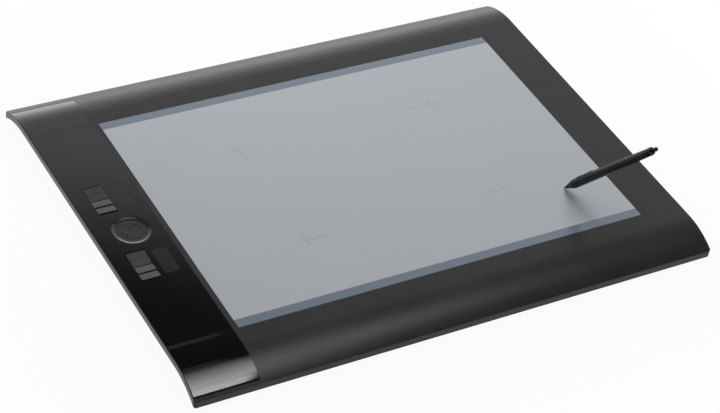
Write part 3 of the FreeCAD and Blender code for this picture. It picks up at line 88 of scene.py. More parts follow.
class Wire:
    """A shader socket that takes part in Python sums."""

    def __init__(self, graph: "Graph", socket: bpy.types.NodeSocket) -> None:
        """Keep the graph and the socket."""
        self.graph = graph
        self.socket = socket

    def _sum(self, operation: str, *terms: "Term") -> "Wire":
        """Add a maths node: Vector Math where a term is a vector, Math otherwise.

        Args:
            operation: the node's operation.
            terms: numbers or wires, in order.

        Returns:
            The node's result.
        """
        vectors = any(isinstance(term, Wire) and term.socket.type == "VECTOR" for term in terms)
        kind = "ShaderNodeVectorMath" if vectors else "ShaderNodeMath"
        return self.graph.node(kind, {"operation": operation}, dict(enumerate(terms)))

    def __add__(self, other: "Term") -> "Wire":
        """Return self + other."""
        return self._sum("ADD", self, other)

    def __radd__(self, other: "Term") -> "Wire":
        """Return other + self."""
        return self._sum("ADD", other, self)

    def __sub__(self, other: "Term") -> "Wire":
        """Return self - other."""
        return self._sum("SUBTRACT", self, other)

    def __rsub__(self, other: "Term") -> "Wire":
        """Return other - self."""
        return self._sum("SUBTRACT", other, self)

    def __mul__(self, other: "Term") -> "Wire":
        """Return self * other."""
        return self._sum("MULTIPLY", self, other)

    def __rmul__(self, other: "Term") -> "Wire":
        """Return other * self."""
        return self._sum("MULTIPLY", other, self)

    def __mod__(self, other: float) -> "Wire":
        """Return what is left of self after whole steps of other."""
        return self._sum("FLOORED_MODULO", self, other)

    def __abs__(self) -> "Wire":
        """Return the size without its sign."""
        return self._sum("ABSOLUTE", self)

    def least(self, other: "Term") -> "Wire":
        """Return the smaller of the two."""
        return self._sum("MINIMUM", self, other)

    def most(self, other: "Term") -> "Wire":
        """Return the larger of the two."""
        return self._sum("MAXIMUM", self, other)

    def sine(self) -> "Wire":
        """Return the sine."""
        return self._sum("SINE", self)

    def rise(self, low: float, high: float, start: float = 0.0, end: float = 1.0) -> "Wire":
        """Return a smooth step, by default from 0 at low to 1 at high."""
        inputs = {"Value": self, "From Min": low, "From Max": high, "To Min": start, "To Max": end}
        return self.graph.node("ShaderNodeMapRange", {"interpolation_type": "SMOOTHSTEP"}, inputs)

    def fall(self, low: float, high: float) -> "Wire":
        """Return a smooth step from 1 at low to 0 at high."""
        return self.rise(low, high, 1.0, 0.0)

    def stripes(self, pitch: float, half: float, end: float) -> "Wire":
        """Return 1 within half a width of lines a pitch apart, fading to 0 at end."""
        return abs(self % pitch - pitch / 2).fall(half, end)

    def along(self, axis: Place) -> "Wire":
        """Return how far this place lies along an axis."""
        inputs = {0: self, 1: axis}
        return self.graph.node("ShaderNodeVectorMath", {"operation": "DOT_PRODUCT"}, inputs, "Value")


Term = Wire | float | tuple[float, ...]
Inputs = dict[str | int, Term]


class Graph:
    """The node tree of a material, a lamp or the world."""

    def __init__(self, owner: bpy.types.ID) -> None:
        """Empty the tree.

        Args:
            owner: the material, lamp or world that has it.
        """
        owner.use_nodes = True
        self.tree = owner.node_tree
        self.tree.nodes.clear()

    def node(self, kind: str, settings: dict[str, object] | None = None,
             inputs: Inputs | None = None, output: str | int = 0) -> Wire:
        """Add one node.

        Args:
            kind: the node's type.
            settings: its properties, set first; "stops" holds a ramp's positions and levels.
            inputs: a value or a wire for each socket, by name or number.
            output: the output to return, by name or number.

        Returns:
            The chosen output.
        """
        node = self.tree.nodes.new(kind)
        for name, value in (settings or {}).items():
            if name == "stops":
                self._set_stops(node.color_ramp, value)
            else:
                setattr(node, name, value)
        for key, value in (inputs or {}).items():
            self._feed(node.inputs[key], value)
        return Wire(self, node.outputs[output] if node.outputs else None)

    def _set_stops(self, ramp: bpy.types.ColorRamp, stops: Sequence[Point]) -> None:
        """Give a ramp grey stops.

        Args:
            ramp: the ramp.
            stops: pairs of position and level.
        """
        while len(ramp.elements) < len(stops):
            ramp.elements.new(0.5)
        for element, (position, level) in zip(ramp.elements, stops):
            element.position = position
            element.color = (level, level, level, 1.0)

    def _feed(self, socket: bpy.types.NodeSocket, value: Term) -> None:
        """Link a wire to a socket, or write a value on it.

        Args:
            socket: the socket.
            value: a wire, a number, a vector or a colour.
        """
        if isinstance(value, Wire):
            self.tree.links.new(value.socket, socket)
        elif socket.type == "RGBA":
            socket.default_value = (*value, 1.0)[:4]
        elif socket.type == "VECTOR" and isinstance(value, (int, float)):
            socket.default_value = (value, value, value)
        else:
            socket.default_value = value

    @cached_property
    def where(self) -> Wire:
        """Return the object's own coordinates in millimetres."""
        return self.node("ShaderNodeTexCoord", output="Object") * (1 / MM)

    def axes(self, vector: Wire | None = None) -> tuple[Wire, Wire, Wire]:
        """Return the three parts of a vector, by default of the place in millimetres."""
        parts = self.node("ShaderNodeSeparateXYZ", inputs={0: self.where if vector is None else vector})
        return tuple(Wire(self, socket) for socket in parts.socket.node.outputs)

    def noise(self, size: float, detail: float = 2.0, stretch: Place | None = None) -> Wire:
        """Return clouds from 0 to 1 with patches of a size in millimetres, finer layers and a stretch."""
        where = self.where if stretch is None else self.where * stretch
        return self.node("ShaderNodeTexNoise", inputs={"Vector": where, "Scale": 1 / size, "Detail": detail})

    def cells(self, size: float) -> Wire:
        """Return the distance to the nearest of scattered points, in cell sizes."""
        return self.node("ShaderNodeTexVoronoi", inputs={"Vector": self.where, "Scale": 1 / size})

    def blend(self, share: Term, first: Term, second: Term) -> Wire:
        """Return a colour that goes from the first to the second as the share goes from 0 to 1."""
        return self.node("ShaderNodeMix", {"data_type": "RGBA"}, {0: share, 6: first, 7: second}, 2)

    def relief(self, height: Wire, depth: float) -> Wire:
        """Return a normal bent by a height from 0 to 1, whose full step has a depth in millimetres."""
        return self.node("ShaderNodeBump", inputs={"Height": height, "Distance": depth * MM, "Strength": 1.0})

    def rays(self, *kinds: str) -> Wire:
        """Return 1 where the ray is of one of Light Path's kinds, such as Camera or Glossy."""
        seen = [self.node("ShaderNodeLightPath", output=f"Is {kind} Ray") for kind in kinds]
        return reduce(Wire.most, seen)


@dataclass(frozen=True)
class Finish:
    """A finish: its name, its main colour, its roughness, how much it reflects and whether it is metal."""

    name: str
    colour: Colour
    roughness: float
    level: float = 0.5
    metal: float = 0.0

    def material(self) -> bpy.types.Material:
        """Return the finish as a material, made once.

        Returns:
            The material.
        """
        title = f"finish_{self.name}"
        made = bpy.data.materials.get(title)
        if made is None:
            made = bpy.data.materials.new(title)
            graph = Graph(made)
            inputs = {"Base Color": self.colour, "Roughness": self.roughness, "Metallic": self.metal,
                      "Specular IOR Level": self.level, **self.paint(graph)}
            shader = graph.node("ShaderNodeBsdfPrincipled", inputs=inputs)
            graph.node("ShaderNodeOutputMaterial", inputs={"Surface": shader})
        return made

    def paint(self, graph: Graph) -> Inputs:
        """Return the shader's inputs that change over the surface."""
        raise NotImplementedError

    def toned(self, factor: float) -> Colour:
        """Return the main colour made lighter or darker."""
        return tuple(min(part * factor, 1.0) for part in self.colour)


@dataclass(frozen=True)
class MouldedFinish(Finish):
    """Moulded plastic or rubber with an eroded grain, faint mottling and uneven sheen."""

    grain: float = 0.5
    relief: float = 0.02
    mottle: float = 0.12
    uneven: float = 0.08
    pits_per_grain: float = 1.7
    relief_shares: Point = (0.6, 0.4)
    tone_shares: Point = (1.2, 0.5)
    cloud: float = 60.0

    def paint(self, graph: Graph) -> Inputs:
        """Paint the grain.

        Args:
            graph: the material's tree.

        Returns:
            The colour, the roughness and the normal.
        """
        grain = graph.noise(self.grain, 1.0)
        pits = graph.cells(self.grain * self.pits_per_grain)
        clouds = graph.noise(self.cloud, 3.0)
        cloud_share, grain_share = self.tone_shares
        shade = ((clouds - 0.5) * cloud_share + (grain - 0.5) * grain_share + 0.5).least(1.0).most(0.0)
        fine, coarse = self.relief_shares
        return {
            "Base Color": graph.blend(shade, self.toned(1 - self.mottle), self.toned(1 + self.mottle)),
            "Roughness": self.roughness + (clouds - 0.5) * self.uneven + (grain - 0.5) * self.uneven,
            "Normal": graph.relief(grain * fine + pits * coarse, self.relief),
        }


@dataclass(frozen=True)
class CasingFinish(MouldedFinish):
    """The tablet's matte casing, rubbed along its outer edges and polished where the palm rests."""

    half_length: float = 311.5
    half_depth: float = 231.0
    rub_starts: Point = (-0.9, -0.1)
    rub_ends: Point = (-0.1, -0.02)
    rub_levels: Point = (6.0, 12.0)
    rub_patches: float = 14.0
    rub_spots: Point = (0.42, 0.62)
    rub_tone: float = 2.6
    rub_share: float = 0.3
    rub_polish: float = 0.08
    palm_x: float = 40.0
    palm_aside: Point = (120.0, 230.0)
    palm_front: Point = (-205.0, -172.0)
    palm_levels: Point = (15.0, 24.0)
    palm_polish: float = 0.03

    def paint(self, graph: Graph) -> Inputs:
        """Paint the grain with rubbed edges and the palm's polish.

        Args:
            graph: the material's tree.

        Returns:
            The colour, the roughness and the normal.
        """
        made = super().paint(graph)
        x, y, z = graph.axes()
        patches = graph.noise(self.rub_patches, 3.0)
        rim = (abs(x) - self.half_length).most(abs(y) - self.half_depth)
        rubbed = rim.rise(*self.rub_starts) * rim.fall(*self.rub_ends) * z.rise(*self.rub_levels)
        rubbed = rubbed * patches.rise(*self.rub_spots)
        palm = y.fall(*self.palm_front) * abs(x - self.palm_x).fall(*self.palm_aside)
        palm = palm * z.rise(*self.palm_levels)
        made["Base Color"] = graph.blend(rubbed * self.rub_share, made["Base Color"],
                                         self.toned(self.rub_tone))
        rubbing, polish = rubbed * self.rub_polish, palm * patches * self.palm_polish
        made["Roughness"] = made["Roughness"] - rubbing - polish
        return made


@dataclass(frozen=True)
class KeyFinish(MouldedFinish):
    """The keys' satin plastic, with painted shade that darkens each key towards the gaps between the keys."""

    group: float = 52.25
    pitch: float = 10.2
    gap_shade_reach: Point = (0.45, 1.5)
    gap_shade_tone: float = 0.1
    gap_shade_share: float = 0.9
    gap_rough: float = 0.35

    def paint(self, graph: Graph) -> Inputs:
        """Paint the grain with painted shade that darkens the edges of each key next to the gaps.

        Args:
            graph: the material's tree.

        Returns:
            The colour, the roughness and the normal.
        """
        made = super().paint(graph)
        _, y, _ = graph.axes()
        # Painted shade: the colour darkens near each gap between the keys, where shade falls; the roughness
        # rises there too.
        edge = (abs(abs(y) - self.group) + self.pitch / 2).stripes(self.pitch, *self.gap_shade_reach)
        made["Base Color"] = graph.blend(edge * self.gap_shade_share, made["Base Color"], self.toned(self.gap_shade_tone))
        made["Roughness"] = made["Roughness"] + edge * self.gap_rough
        return made


@dataclass(frozen=True)
class GlossFinish(Finish):
    """Polished plastic with faint smudges, a little dust and the moulding's slight ripple."""

    smudge: float = 0.05
    dust: float = 0.04
    ripple: float = 0.015
    smear_stretch: Place = (1.0, 0.35, 1.0)
    smear_size: float = 22.0
    smear_spots: Point = (0.45, 0.8)
    print_size: float = 7.0
    wave_size: float = 45.0
    dust_spacing: float = 3.4
    dust_drift: float = 31.0
    dust_spots: Point = (0.45, 0.62)
    dust_grain: Point = (0.02, 0.07)
    dust_rough: float = 0.2
    dust_colour: Colour = (0.55, 0.54, 0.52)

    def paint(self, graph: Graph) -> Inputs:
        """Paint the smudges, the dust and the ripple.

        Args:
            graph: the material's tree.

        Returns:
            The colour, the roughness and the normal.
        """
        smears = graph.noise(self.smear_size, 4.0, self.smear_stretch)
        prints = graph.noise(self.print_size)
        drifts = graph.noise(self.dust_drift).rise(*self.dust_spots)
        specks = graph.cells(self.dust_spacing).fall(*self.dust_grain) * drifts
        smudges = smears.rise(*self.smear_spots) * prints
        return {
            "Base Color": graph.blend(specks * self.dust, self.colour, self.dust_colour),
            "Roughness": self.roughness + smudges * self.smudge + specks * self.dust_rough,
            "Normal": graph.relief(graph.noise(self.wave_size, 1.0), self.ripple),
        }


@dataclass(frozen=True)
class FilmFinish(Finish):
    """The drawing sheet's textured film with its printed bands and corner crosses."""

    level: float = 1.0
    centre_x: float = 13.6
    band_start: float = 154.6
    band_soft: float = 0.15
    band_polish: float = 0.12
    band_colour: Colour = (0.105, 0.135, 0.172)
    mark: Point = (121.4, 77.0)
    mark_reach_x: Point = (26.0, 11.0)
    mark_reach_y: Point = (20.0, 8.0)
    mark_half: float = 0.3
    mark_share: float = 0.62
    mark_colour: Colour = (0.15, 0.165, 0.175)
    tooth: float = 0.22
    tooth_depth: float = 0.004
    tooth_uneven: float = 0.08
    stroke_size: float = 3.0
    stroke_stretch: Place = (1.0, 0.08, 1.0)
    stroke_spots: Point = (0.4, 0.8)
    stroke_polish: float = 0.03
    cloud: float = 80.0
    cloud_tones: Point = (0.985, 1.015)
    used_x: Point = (40.0, 190.0)
    used_y: Point = (30.0, 120.0)

    def stroke(self, along: Wire, across: Wire, reach: Point) -> Wire:
        """Return 1 on one stroke of a cross.

        Args:
            along: the distance along the stroke from the cross's middle, outwards.
            across: the distance to its side.
            reach: how far it goes inwards and outwards.

        Returns:
            The mask.
        """
        soft = self.mark_half * 0.5
        width = abs(across).fall(self.mark_half, self.mark_half + soft)
        return width * along.rise(-reach[0] - soft, -reach[0]) * along.fall(reach[1], reach[1] + soft)

    def paint(self, graph: Graph) -> Inputs:
        """Paint the print, the tooth and the faint polish left by drawing.

        Args:
            graph: the material's tree.

        Returns:
            The colour, the roughness and the normal.
        """
        x, y, _ = graph.axes()
        across, along = abs(x - self.centre_x), abs(y)
        aside, beyond = across - self.mark[0], along - self.mark[1]
        crosses = self.stroke(aside, beyond, self.mark_reach_x)
        crosses = crosses.most(self.stroke(beyond, aside, self.mark_reach_y))
        band = along.rise(self.band_start - self.band_soft, self.band_start + self.band_soft)
        tooth = graph.noise(self.tooth, 1.0)
        strokes = graph.noise(self.stroke_size, 3.0, self.stroke_stretch)
        used = across.fall(*self.used_x) * along.fall(*self.used_y)
        tone = graph.blend(graph.noise(self.cloud, 3.0), *map(self.toned, self.cloud_tones))
        tone = graph.blend(band, tone, self.band_colour)
        polish = used * strokes.rise(*self.stroke_spots) * self.stroke_polish
        return {
            "Base Color": graph.blend(crosses * self.mark_share, tone, self.mark_colour),
            "Roughness": self.roughness - polish - band * self.band_polish + (tooth - 0.5) * self.tooth_uneven,
            "Normal": graph.relief(tooth, self.tooth_depth),
        }


@dataclass(frozen=True)
class BoardFinish(Finish):
    """A circuit board: solder mask over traces, with tinned pads."""

    pitch: float = 2.4
    trace: float = 0.28
    trace_soft: float = 0.12
    trace_tone: float = 2.1
    trace_share: float = 0.5
    trace_relief: float = 0.03
    trace_polish: float = 0.04
    field: float = 11.0
    field_edge: Point = (0.495, 0.505)
    pad_patches: float = 5.0
    pad_spots: Point = (0.57, 0.6)
    pad_rough: float = 0.12
    pad_relief: float = 0.6
    pad_colour: Colour = (0.75, 0.58, 0.3)

    def paint(self, graph: Graph) -> Inputs:
        """Paint the traces, the pads and the mask's slight relief.

        Args:
            graph: the material's tree.

        Returns:
            The colour, the roughness, the metal's share and the normal.
        """
        across, along = (axis.stripes(self.pitch, self.trace, self.trace + self.trace_soft)
                         for axis in graph.axes()[:2])
        turned = graph.noise(self.field, 1.0).rise(*self.field_edge)
        traces = across * turned + along * (1 - turned)
        pads = across * along * graph.noise(self.pad_patches, 0.0).rise(*self.pad_spots)
        mask = graph.blend(traces * self.trace_share, self.colour, self.toned(self.trace_tone))
        return {
            "Base Color": graph.blend(pads, mask, self.pad_colour),
            "Roughness": self.roughness + pads * self.pad_rough - traces * self.trace_polish,
            "Metallic": pads,
            "Normal": graph.relief(traces + pads * self.pad_relief, self.trace_relief),
        }


@dataclass(frozen=True)
class MetalFinish(Finish):
    """Rolled or turned metal with fine brushing and faint stains."""

    metal: float = 1.0
    stretch: Place = (0.02, 1.0, 1.0)
    brush: float = 0.4
    brush_depth: float = 0.006
    stain: float = 18.0
    uneven: float = 0.12
    mottle: float = 0.1

    def paint(self, graph: Graph) -> Inputs:
        """Paint the brushing and the stains.

        Args:
            graph: the material's tree.

        Returns:
            The colour, the roughness and the normal.
        """
        brushing = graph.noise(self.brush, 2.0, self.stretch)
        stains = graph.noise(self.stain, 4.0)
        return {
            "Base Color": graph.blend(stains, self.toned(1 - self.mottle), self.toned(1 + self.mottle)),
            "Roughness": self.roughness + (brushing - 0.5) * self.uneven + (stains - 0.5) * self.uneven,
            "Normal": graph.relief(brushing, self.brush_depth),
        }


@dataclass(frozen=True)
class InletFinish(MetalFinish):
    """A cable inlet's steel shell with its dark tongue and gilt contacts."""

    spacing: float = 46.0
    middle: float = 14.95
    shell_x: Point = (3.35, 3.4)
    shell_z: Point = (1.5, 1.54)
    tongue_x: Point = (2.32, 2.36)
    tongue_z: Point = (0.62, 0.66)
    contact_pitch: float = 0.8
    contact_half: Point = (0.18, 0.22)
    contact_x: Point = (1.9, 2.0)
    gilt: Colour = (0.8, 0.58, 0.25)
    tongue_colour: Colour = (0.012, 0.012, 0.013)

    def paint(self, graph: Graph) -> Inputs:
        """Paint the shell's steel, the tongue's plastic and the contacts.

        Args:
            graph: the material's tree.

        Returns:
            The colour, the roughness, the metal's share and the normal.
        """
        made = super().paint(graph)
        _, y, z = graph.axes()
        across, up = abs(abs(y) - self.spacing / 2), abs(z - self.middle)
        inner = across.fall(*self.shell_x) * up.fall(*self.shell_z)
        tongue = across.fall(*self.tongue_x) * up.fall(*self.tongue_z)
        contacts = (y + self.contact_pitch / 2).stripes(self.contact_pitch, *self.contact_half)
        contacts = contacts * tongue * across.fall(*self.contact_x)
        dark = tongue * inner * (1 - contacts)
        steel = graph.blend(contacts, made["Base Color"], self.gilt)
        return {**made, "Base Color": graph.blend(dark, steel, self.tongue_colour), "Metallic": 1 - dark}


@dataclass(frozen=True)
class RibbonFinish(Finish):
    """A flat flexible ribbon whose conductors show through the film."""

    pitch: float = 1.0
    wire_half: Point = (0.24, 0.32)
    wire_relief: float = 0.03
    wire_share: float = 0.8
    uneven: float = 0.1
    cloud: float = 4.0
    copper: Colour = (0.62, 0.34, 0.1)

    def paint(self, graph: Graph) -> Inputs:
        """Paint the conductors under the film.

        Args:
            graph: the material's tree.

        Returns:
            The colour, the roughness and the normal.
        """
        wires = graph.axes()[1].stripes(self.pitch, *self.wire_half)
        return {
            "Base Color": graph.blend(wires * self.wire_share, self.colour, self.copper),
            "Roughness": self.roughness + (graph.noise(self.cloud) - 0.5) * self.uneven,
            "Normal": graph.relief(wires, self.wire_relief),
        }


@dataclass(frozen=True)
class ChipFinish(Finish):
    """Moulded epoxy with a fine grain and faint clouds."""

    grain: float = 0.25
    relief: float = 0.015
    uneven: float = 0.15
    cloud: float = 6.0
    cloud_tones: Point = (0.8, 1.4)

    def paint(self, graph: Graph) -> Inputs:
        """Paint the grain and the clouds of the epoxy.

        Args:
            graph: the material's tree.

        Returns:
            The colour, the roughness and the normal.
        """
        grain = graph.noise(self.grain)
        return {
            "Base Color": graph.blend(graph.noise(self.cloud), *map(self.toned, self.cloud_tones)),
            "Roughness": self.roughness + (grain - 0.5) * self.uneven,
            "Normal": graph.relief(grain, self.relief),
        }


@dataclass(frozen=True)
class PixelFinish(Finish):
    """A dark display whose grid of pixels shows faintly."""

    pitch: float = 0.3
    pixel_half: Point = (0.1, 0.13)
    pixel_tone: float = 2.2
    cloud: float = 9.0
    uneven: float = 0.05

    def paint(self, graph: Graph) -> Inputs:
        """Paint the grid of the pixels.

        Args:
            graph: the material's tree.

        Returns:
            The colour and the roughness.
        """
        across, along = (axis.stripes(self.pitch, *self.pixel_half) for axis in graph.axes()[:2])
        return {
            "Base Color": graph.blend(across * along, self.colour, self.toned(self.pixel_tone)),
            "Roughness": self.roughness + graph.noise(self.cloud) * self.uneven,
        }


@dataclass(frozen=True)
class AxialFinish(MouldedFinish):
    """A finish that changes along the pen's axis: a winding's rings or a worn point."""

    origin: Place = (0.0, 0.0, 0.0)
    axis: Place = (0.0, 0.0, 1.0)
    ring_pitch: float = 0.0
    ring_depth: float = 0.0
    ring_tone: float = 0.45
    ring_share: float = 0.5
    worn_end: float = 0.0
    worn_share: float = 0.6
    worn_colour: Colour = (0.2, 0.2, 0.2)

    def paint(self, graph: Graph) -> Inputs:
        """Paint the grain with the rings and the worn point.

        Args:
            graph: the material's tree.

        Returns:
            The colour, the roughness and the normal.
        """
        made = super().paint(graph)
        along = (graph.where - self.origin).along(self.axis)
        if self.ring_pitch:
            rings = (along * (2 * math.pi / self.ring_pitch)).sine() * 0.5 + 0.5
            made["Base Color"] = graph.blend(rings * self.ring_share, made["Base Color"],
                                             self.toned(self.ring_tone))
            made["Normal"] = graph.relief(rings, self.ring_depth)
        if self.worn_end:
            worn = along.fall(0.0, self.worn_end)
            made["Base Color"] = graph.blend(worn * self.worn_share, made["Base Color"], self.worn_colour)
        return made


def add_object(name: str, data: bpy.types.ID) -> bpy.types.Object:
    """Put a new object into the scene.

    Args:
        name: its name.
        data: its mesh, lamp or camera.

    Returns:
        The object.
    """
    made = bpy.data.objects.new(name, data)
    bpy.context.scene.collection.objects.link(made)
    return made


def only(parts: Iterable[object], kind: type) -> list:
    """Return the parts of one kind, such as the vertices."""
    return [part for part in parts if isinstance(part, kind)]


class Form:
    """A mesh being shaped with bmesh operators."""

    def __init__(self, name: str) -> None:
        """Start an empty mesh."""
        self.name = name
        self.bm = bmesh.new()

    def outline(self, points: Iterable[Place], closed: bool = True) -> list[BMEdge]:
        """Add a line through a few points.

        Args:
            points: the corners in order.
            closed: whether the last joins the first.

        Returns:
            The line's edges.
        """
        verts = [self.bm.verts.new(point) for point in points]
        ends = verts[1:] + verts[:1] if closed else verts[1:]
        return [self.bm.edges.new(pair) for pair in zip(verts, ends)]

    def face(self, points: Iterable[Place]) -> BMFace:
        """Add one face with the given corners."""
        return bmesh.ops.contextual_create(self.bm, geom=self.outline(points))["faces"][0]

    def extrude(self, face: BMFace, travel: Place) -> list[BMVert | BMEdge | BMFace]:
        """Extrude a face along a straight line.

        Args:
            face: the face, which stays.
            travel: how far the line goes along each axis.

        Returns:
            What lies at the line's end.
        """
        made = bmesh.ops.extrude_face_region(self.bm, geom=[face], use_keep_orig=True)["geom"]
        bmesh.ops.translate(self.bm, vec=travel, verts=only(made, BMVert))
        return made

    def turn(self, profile: Sequence[Point], steps: int = 96, closed: bool = True) -> "Form":
        """Spin a profile of radius and height round the Z axis.

        Args:
            profile: its corners in order.
            steps: how many steps a full turn has.
            closed: whether the profile closes on itself, as a tube's does.

        Returns:
            The form.
        """
        edges = self.outline([(radius, 0.0, height) for radius, height in profile], closed)
        verts = list(dict.fromkeys(vert for edge in edges for vert in edge.verts))
        bmesh.ops.spin(self.bm, geom=edges + verts, cent=(0, 0, 0), axis=(0, 0, 1), angle=2 * math.pi,
                       steps=steps, use_merge=True)
        bmesh.ops.remove_doubles(self.bm, verts=self.bm.verts, dist=MERGE)
        bmesh.ops.dissolve_degenerate(self.bm, dist=SLIVER, edges=self.bm.edges)
        return self

    def rod(self, middle: Matrix, length: float, radius: float, segments: int = 32) -> "Form":
        """Add a rod.

        Args:
            middle: its middle's place, with Z along the rod.
            length: its length.
            radius: its radius.
            segments: how many sides it has.

        Returns:
            The form.
        """
        bmesh.ops.create_cone(self.bm, cap_ends=True, segments=segments, radius1=radius, radius2=radius,
                              depth=length, matrix=middle)
        return self

    def edges_where(self, chosen: Callable[[BMEdge], bool]) -> list[BMEdge]:
        """Return the edges that a test picks."""
        return [edge for edge in self.bm.edges if chosen(edge)]

    def soften(self, width: float, segments: int = 2, edges: list[BMEdge] | None = None) -> None:
        """Round edges.

        Args:
            width: how far the rounding reaches.
            segments: how many steps it has.
            edges: which edges, or None for all whose two faces meet at a sharp angle.
        """
        if edges is None:
            edges = self.edges_where(lambda edge: len(edge.link_faces) == 2
                                     and edge.calc_face_angle(0.0) > math.radians(SHARP_ANGLE))
        bmesh.ops.bevel(self.bm, geom=edges, offset=width, offset_type="OFFSET", affect="EDGES",
                        segments=segments, profile=0.5, material=-1, clamp_overlap=True)

    def cut(self, place: Place, normal: Place, trim: bool = False) -> None:
        """Cut the faces along a plane.

        Args:
            place: a point of the plane.
            normal: the way that the plane faces.
            trim: whether what lies beyond it goes and the cut is closed.
        """
        geom = [*self.bm.verts, *self.bm.edges, *self.bm.faces]
        made = bmesh.ops.bisect_plane(self.bm, geom=geom, plane_co=place, plane_no=normal, clear_outer=trim,
                                      dist=SLIVER)
        if trim:
            bmesh.ops.holes_fill(self.bm, edges=only(made["geom_cut"], BMEdge))

    def outward(self) -> "Form":
        """Merge doubles and turn every face outwards.

        Returns:
            The form.
        """
        bmesh.ops.remove_doubles(self.bm, verts=self.bm.verts, dist=MERGE)
        bmesh.ops.recalc_face_normals(self.bm, faces=self.bm.faces)
        return self

    def mesh(self) -> bpy.types.Mesh:
        """Return the form as a mesh, and end the form.

        Returns:
            The mesh.
        """
        mesh = bpy.data.meshes.new(self.name)
        self.bm.to_mesh(mesh)
        self.bm.free()
        return mesh

    def piece(self, finish: Finish, slot: Slot, node: str, body: str = "tablet",
              place: Matrix | None = None) -> None:
        """Turn the form into a piece of the scene.

        Args:
            finish: what it is made of.
            slot: the record's material slot; not used.
            node: the node that it stands for.
            body: the body it rides on.
            place: where it goes, if it was shaped elsewhere.
        """
        self.outward()
        if place is not None:
            bmesh.ops.transform(self.bm, matrix=place, verts=self.bm.verts)
        bmesh.ops.scale(self.bm, vec=(MM, MM, MM), verts=self.bm.verts)
        for face in self.bm.faces:
            face.smooth = True
        for edge in self.bm.edges:
            edge.smooth = edge.calc_face_angle(0.0) < math.radians(SMOOTH_ANGLE)
        mesh = self.mesh()
        mesh.materials.append(finish.material())
        piece = add_object(self.name, mesh)
        shading = piece.modifiers.new("face_shading", "WEIGHTED_NORMAL")
        shading.keep_sharp = True
        shading.weight = SHADING_WEIGHT
        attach(piece, body)
        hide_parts(node)
        LOG.info("piece %s: %d faces on %s", self.name, len(mesh.polygons), body)


def dress(finish: Finish, *nodes: str) -> None:
    """Give nodes their finish.

    Args:
        finish: the finish.
        nodes: the nodes' names.
    """
    for node in nodes:
        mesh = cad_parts[node].data
        mesh.materials.clear()
        mesh.materials.append(finish.material())
        LOG.info("node %s: %s", node, finish.name)


def arc(centre: Point, radius: float, start: float, end: float, steps: int) -> list[Point]:
    """Return points on an arc.

    Args:
        centre: its centre.
        radius: its radius.
        start: its first angle in degrees.
        end: its last angle in degrees.
        steps: how many steps it has.

    Returns:
        The points, both ends among them.
    """
    angles = [math.radians(start + (end - start) * step / steps) for step in range(steps + 1)]
    return [(centre[0] + radius * math.cos(angle), centre[1] + radius * math.sin(angle)) for angle in angles]


def rounded_line(points: Sequence[Point], steps: int = 6) -> list[Point]:
    """Return a smooth line through points.

    Args:
        points: what it passes through.
        steps: how many steps each stretch has.

    Returns:
        The line's points.
    """
    held = [points[0], *points, points[-1]]
    line = []
    for index in range(len(points) - 1):
        before, start, end, after = held[index:index + 4]
        for step in range(steps):
            share = step / steps
            line.append(tuple(
                0.5 * (2 * b + (c - a) * share + (2 * a - 5 * b + 4 * c - d) * share ** 2
                       + (3 * b - a - 3 * c + d) * share ** 3)
                for a, b, c, d in zip(before, start, end, after)))
    return line + [points[-1]]


MATTE = CasingFinish("matte_casing", (0.0195, 0.0195, 0.0197), 0.3, level=0.28, grain=0.45, relief=0.012)
UNDERSIDE = MouldedFinish("underside", (0.014, 0.0138, 0.0135), 0.5, level=0.25, grain=0.8, relief=0.04)
GLOSS = GlossFinish("gloss_panel", (0.0035, 0.0035, 0.0037), 0.055)
KEY = KeyFinish("key", (0.034, 0.0335, 0.0325), 0.3, grain=0.3, relief=0.006, uneven=0.05)
RING = MouldedFinish("ring", (0.016, 0.016, 0.016), 0.18, grain=0.3, relief=0.004, uneven=0.05)
BUTTON = MouldedFinish("ring_button", (0.015, 0.015, 0.015), 0.24, grain=0.3, relief=0.005, uneven=0.05)
WINDOW = GlossFinish("window", (0.0085, 0.0085, 0.009), 0.13, smudge=0.08, dust=0.03)
FILM = FilmFinish("sheet", (0.299, 0.314, 0.340), 0.34)
RUBBER = MouldedFinish("foot_rubber", (0.02, 0.02, 0.021), 0.78, grain=0.9, relief=0.05, mottle=0.25)
SILICONE = MouldedFinish("silicone", (0.52, 0.54, 0.54), 0.5, grain=0.6, relief=0.01, mottle=0.04)
BOARD = BoardFinish("circuit_board", (0.012, 0.075, 0.03), 0.32)
SENSOR_BOARD = BoardFinish("sensor_board", (0.012, 0.065, 0.028), 0.34, pitch=7.0, trace=0.35)
PEN_BOARD = BoardFinish("pen_board", (0.012, 0.075, 0.03), 0.32, pitch=1.2, trace=0.14)
ELECTRODES = BoardFinish("electrodes", (0.02, 0.05, 0.024), 0.35, pitch=3.0, trace=0.9, trace_share=0.8)
CHIP = ChipFinish("chip", (0.012, 0.012, 0.013), 0.45)
DISPLAY = PixelFinish("display_glass", (0.006, 0.007, 0.009), 0.12)
STEEL = MetalFinish("shield_steel", (0.52, 0.53, 0.54), 0.34)
SCREWS = MetalFinish("screw_steel", (0.32, 0.32, 0.33), 0.32, stretch=(1.0, 1.0, 0.3), brush=0.3)
INLET = InletFinish("inlet_steel", (0.6, 0.6, 0.6), 0.25, stretch=(1.0, 0.1, 1.0), brush=0.3)
RIBBON = RibbonFinish("ribbon", (0.28, 0.11, 0.02), 0.3)
PEN_CONE = MouldedFinish("pen_gloss", (0.0035, 0.0035, 0.0035), 0.09, level=0.12, grain=0.4, relief=0.0005,
                         uneven=0.04)
PEN_GRIP = MouldedFinish("pen_grip", (0.011, 0.011, 0.0113), 0.28, level=0.3, grain=0.25, relief=0.005)
PEN_MATTE = MouldedFinish("pen_matte", (0.021, 0.021, 0.0218), 0.38, level=0.25, grain=0.3, relief=0.01)
PEN_COLLAR = MouldedFinish("pen_collar", (0.0035, 0.0035, 0.0035), 0.08, level=0.3, grain=0.4, relief=0.0005,
                           uneven=0.04)
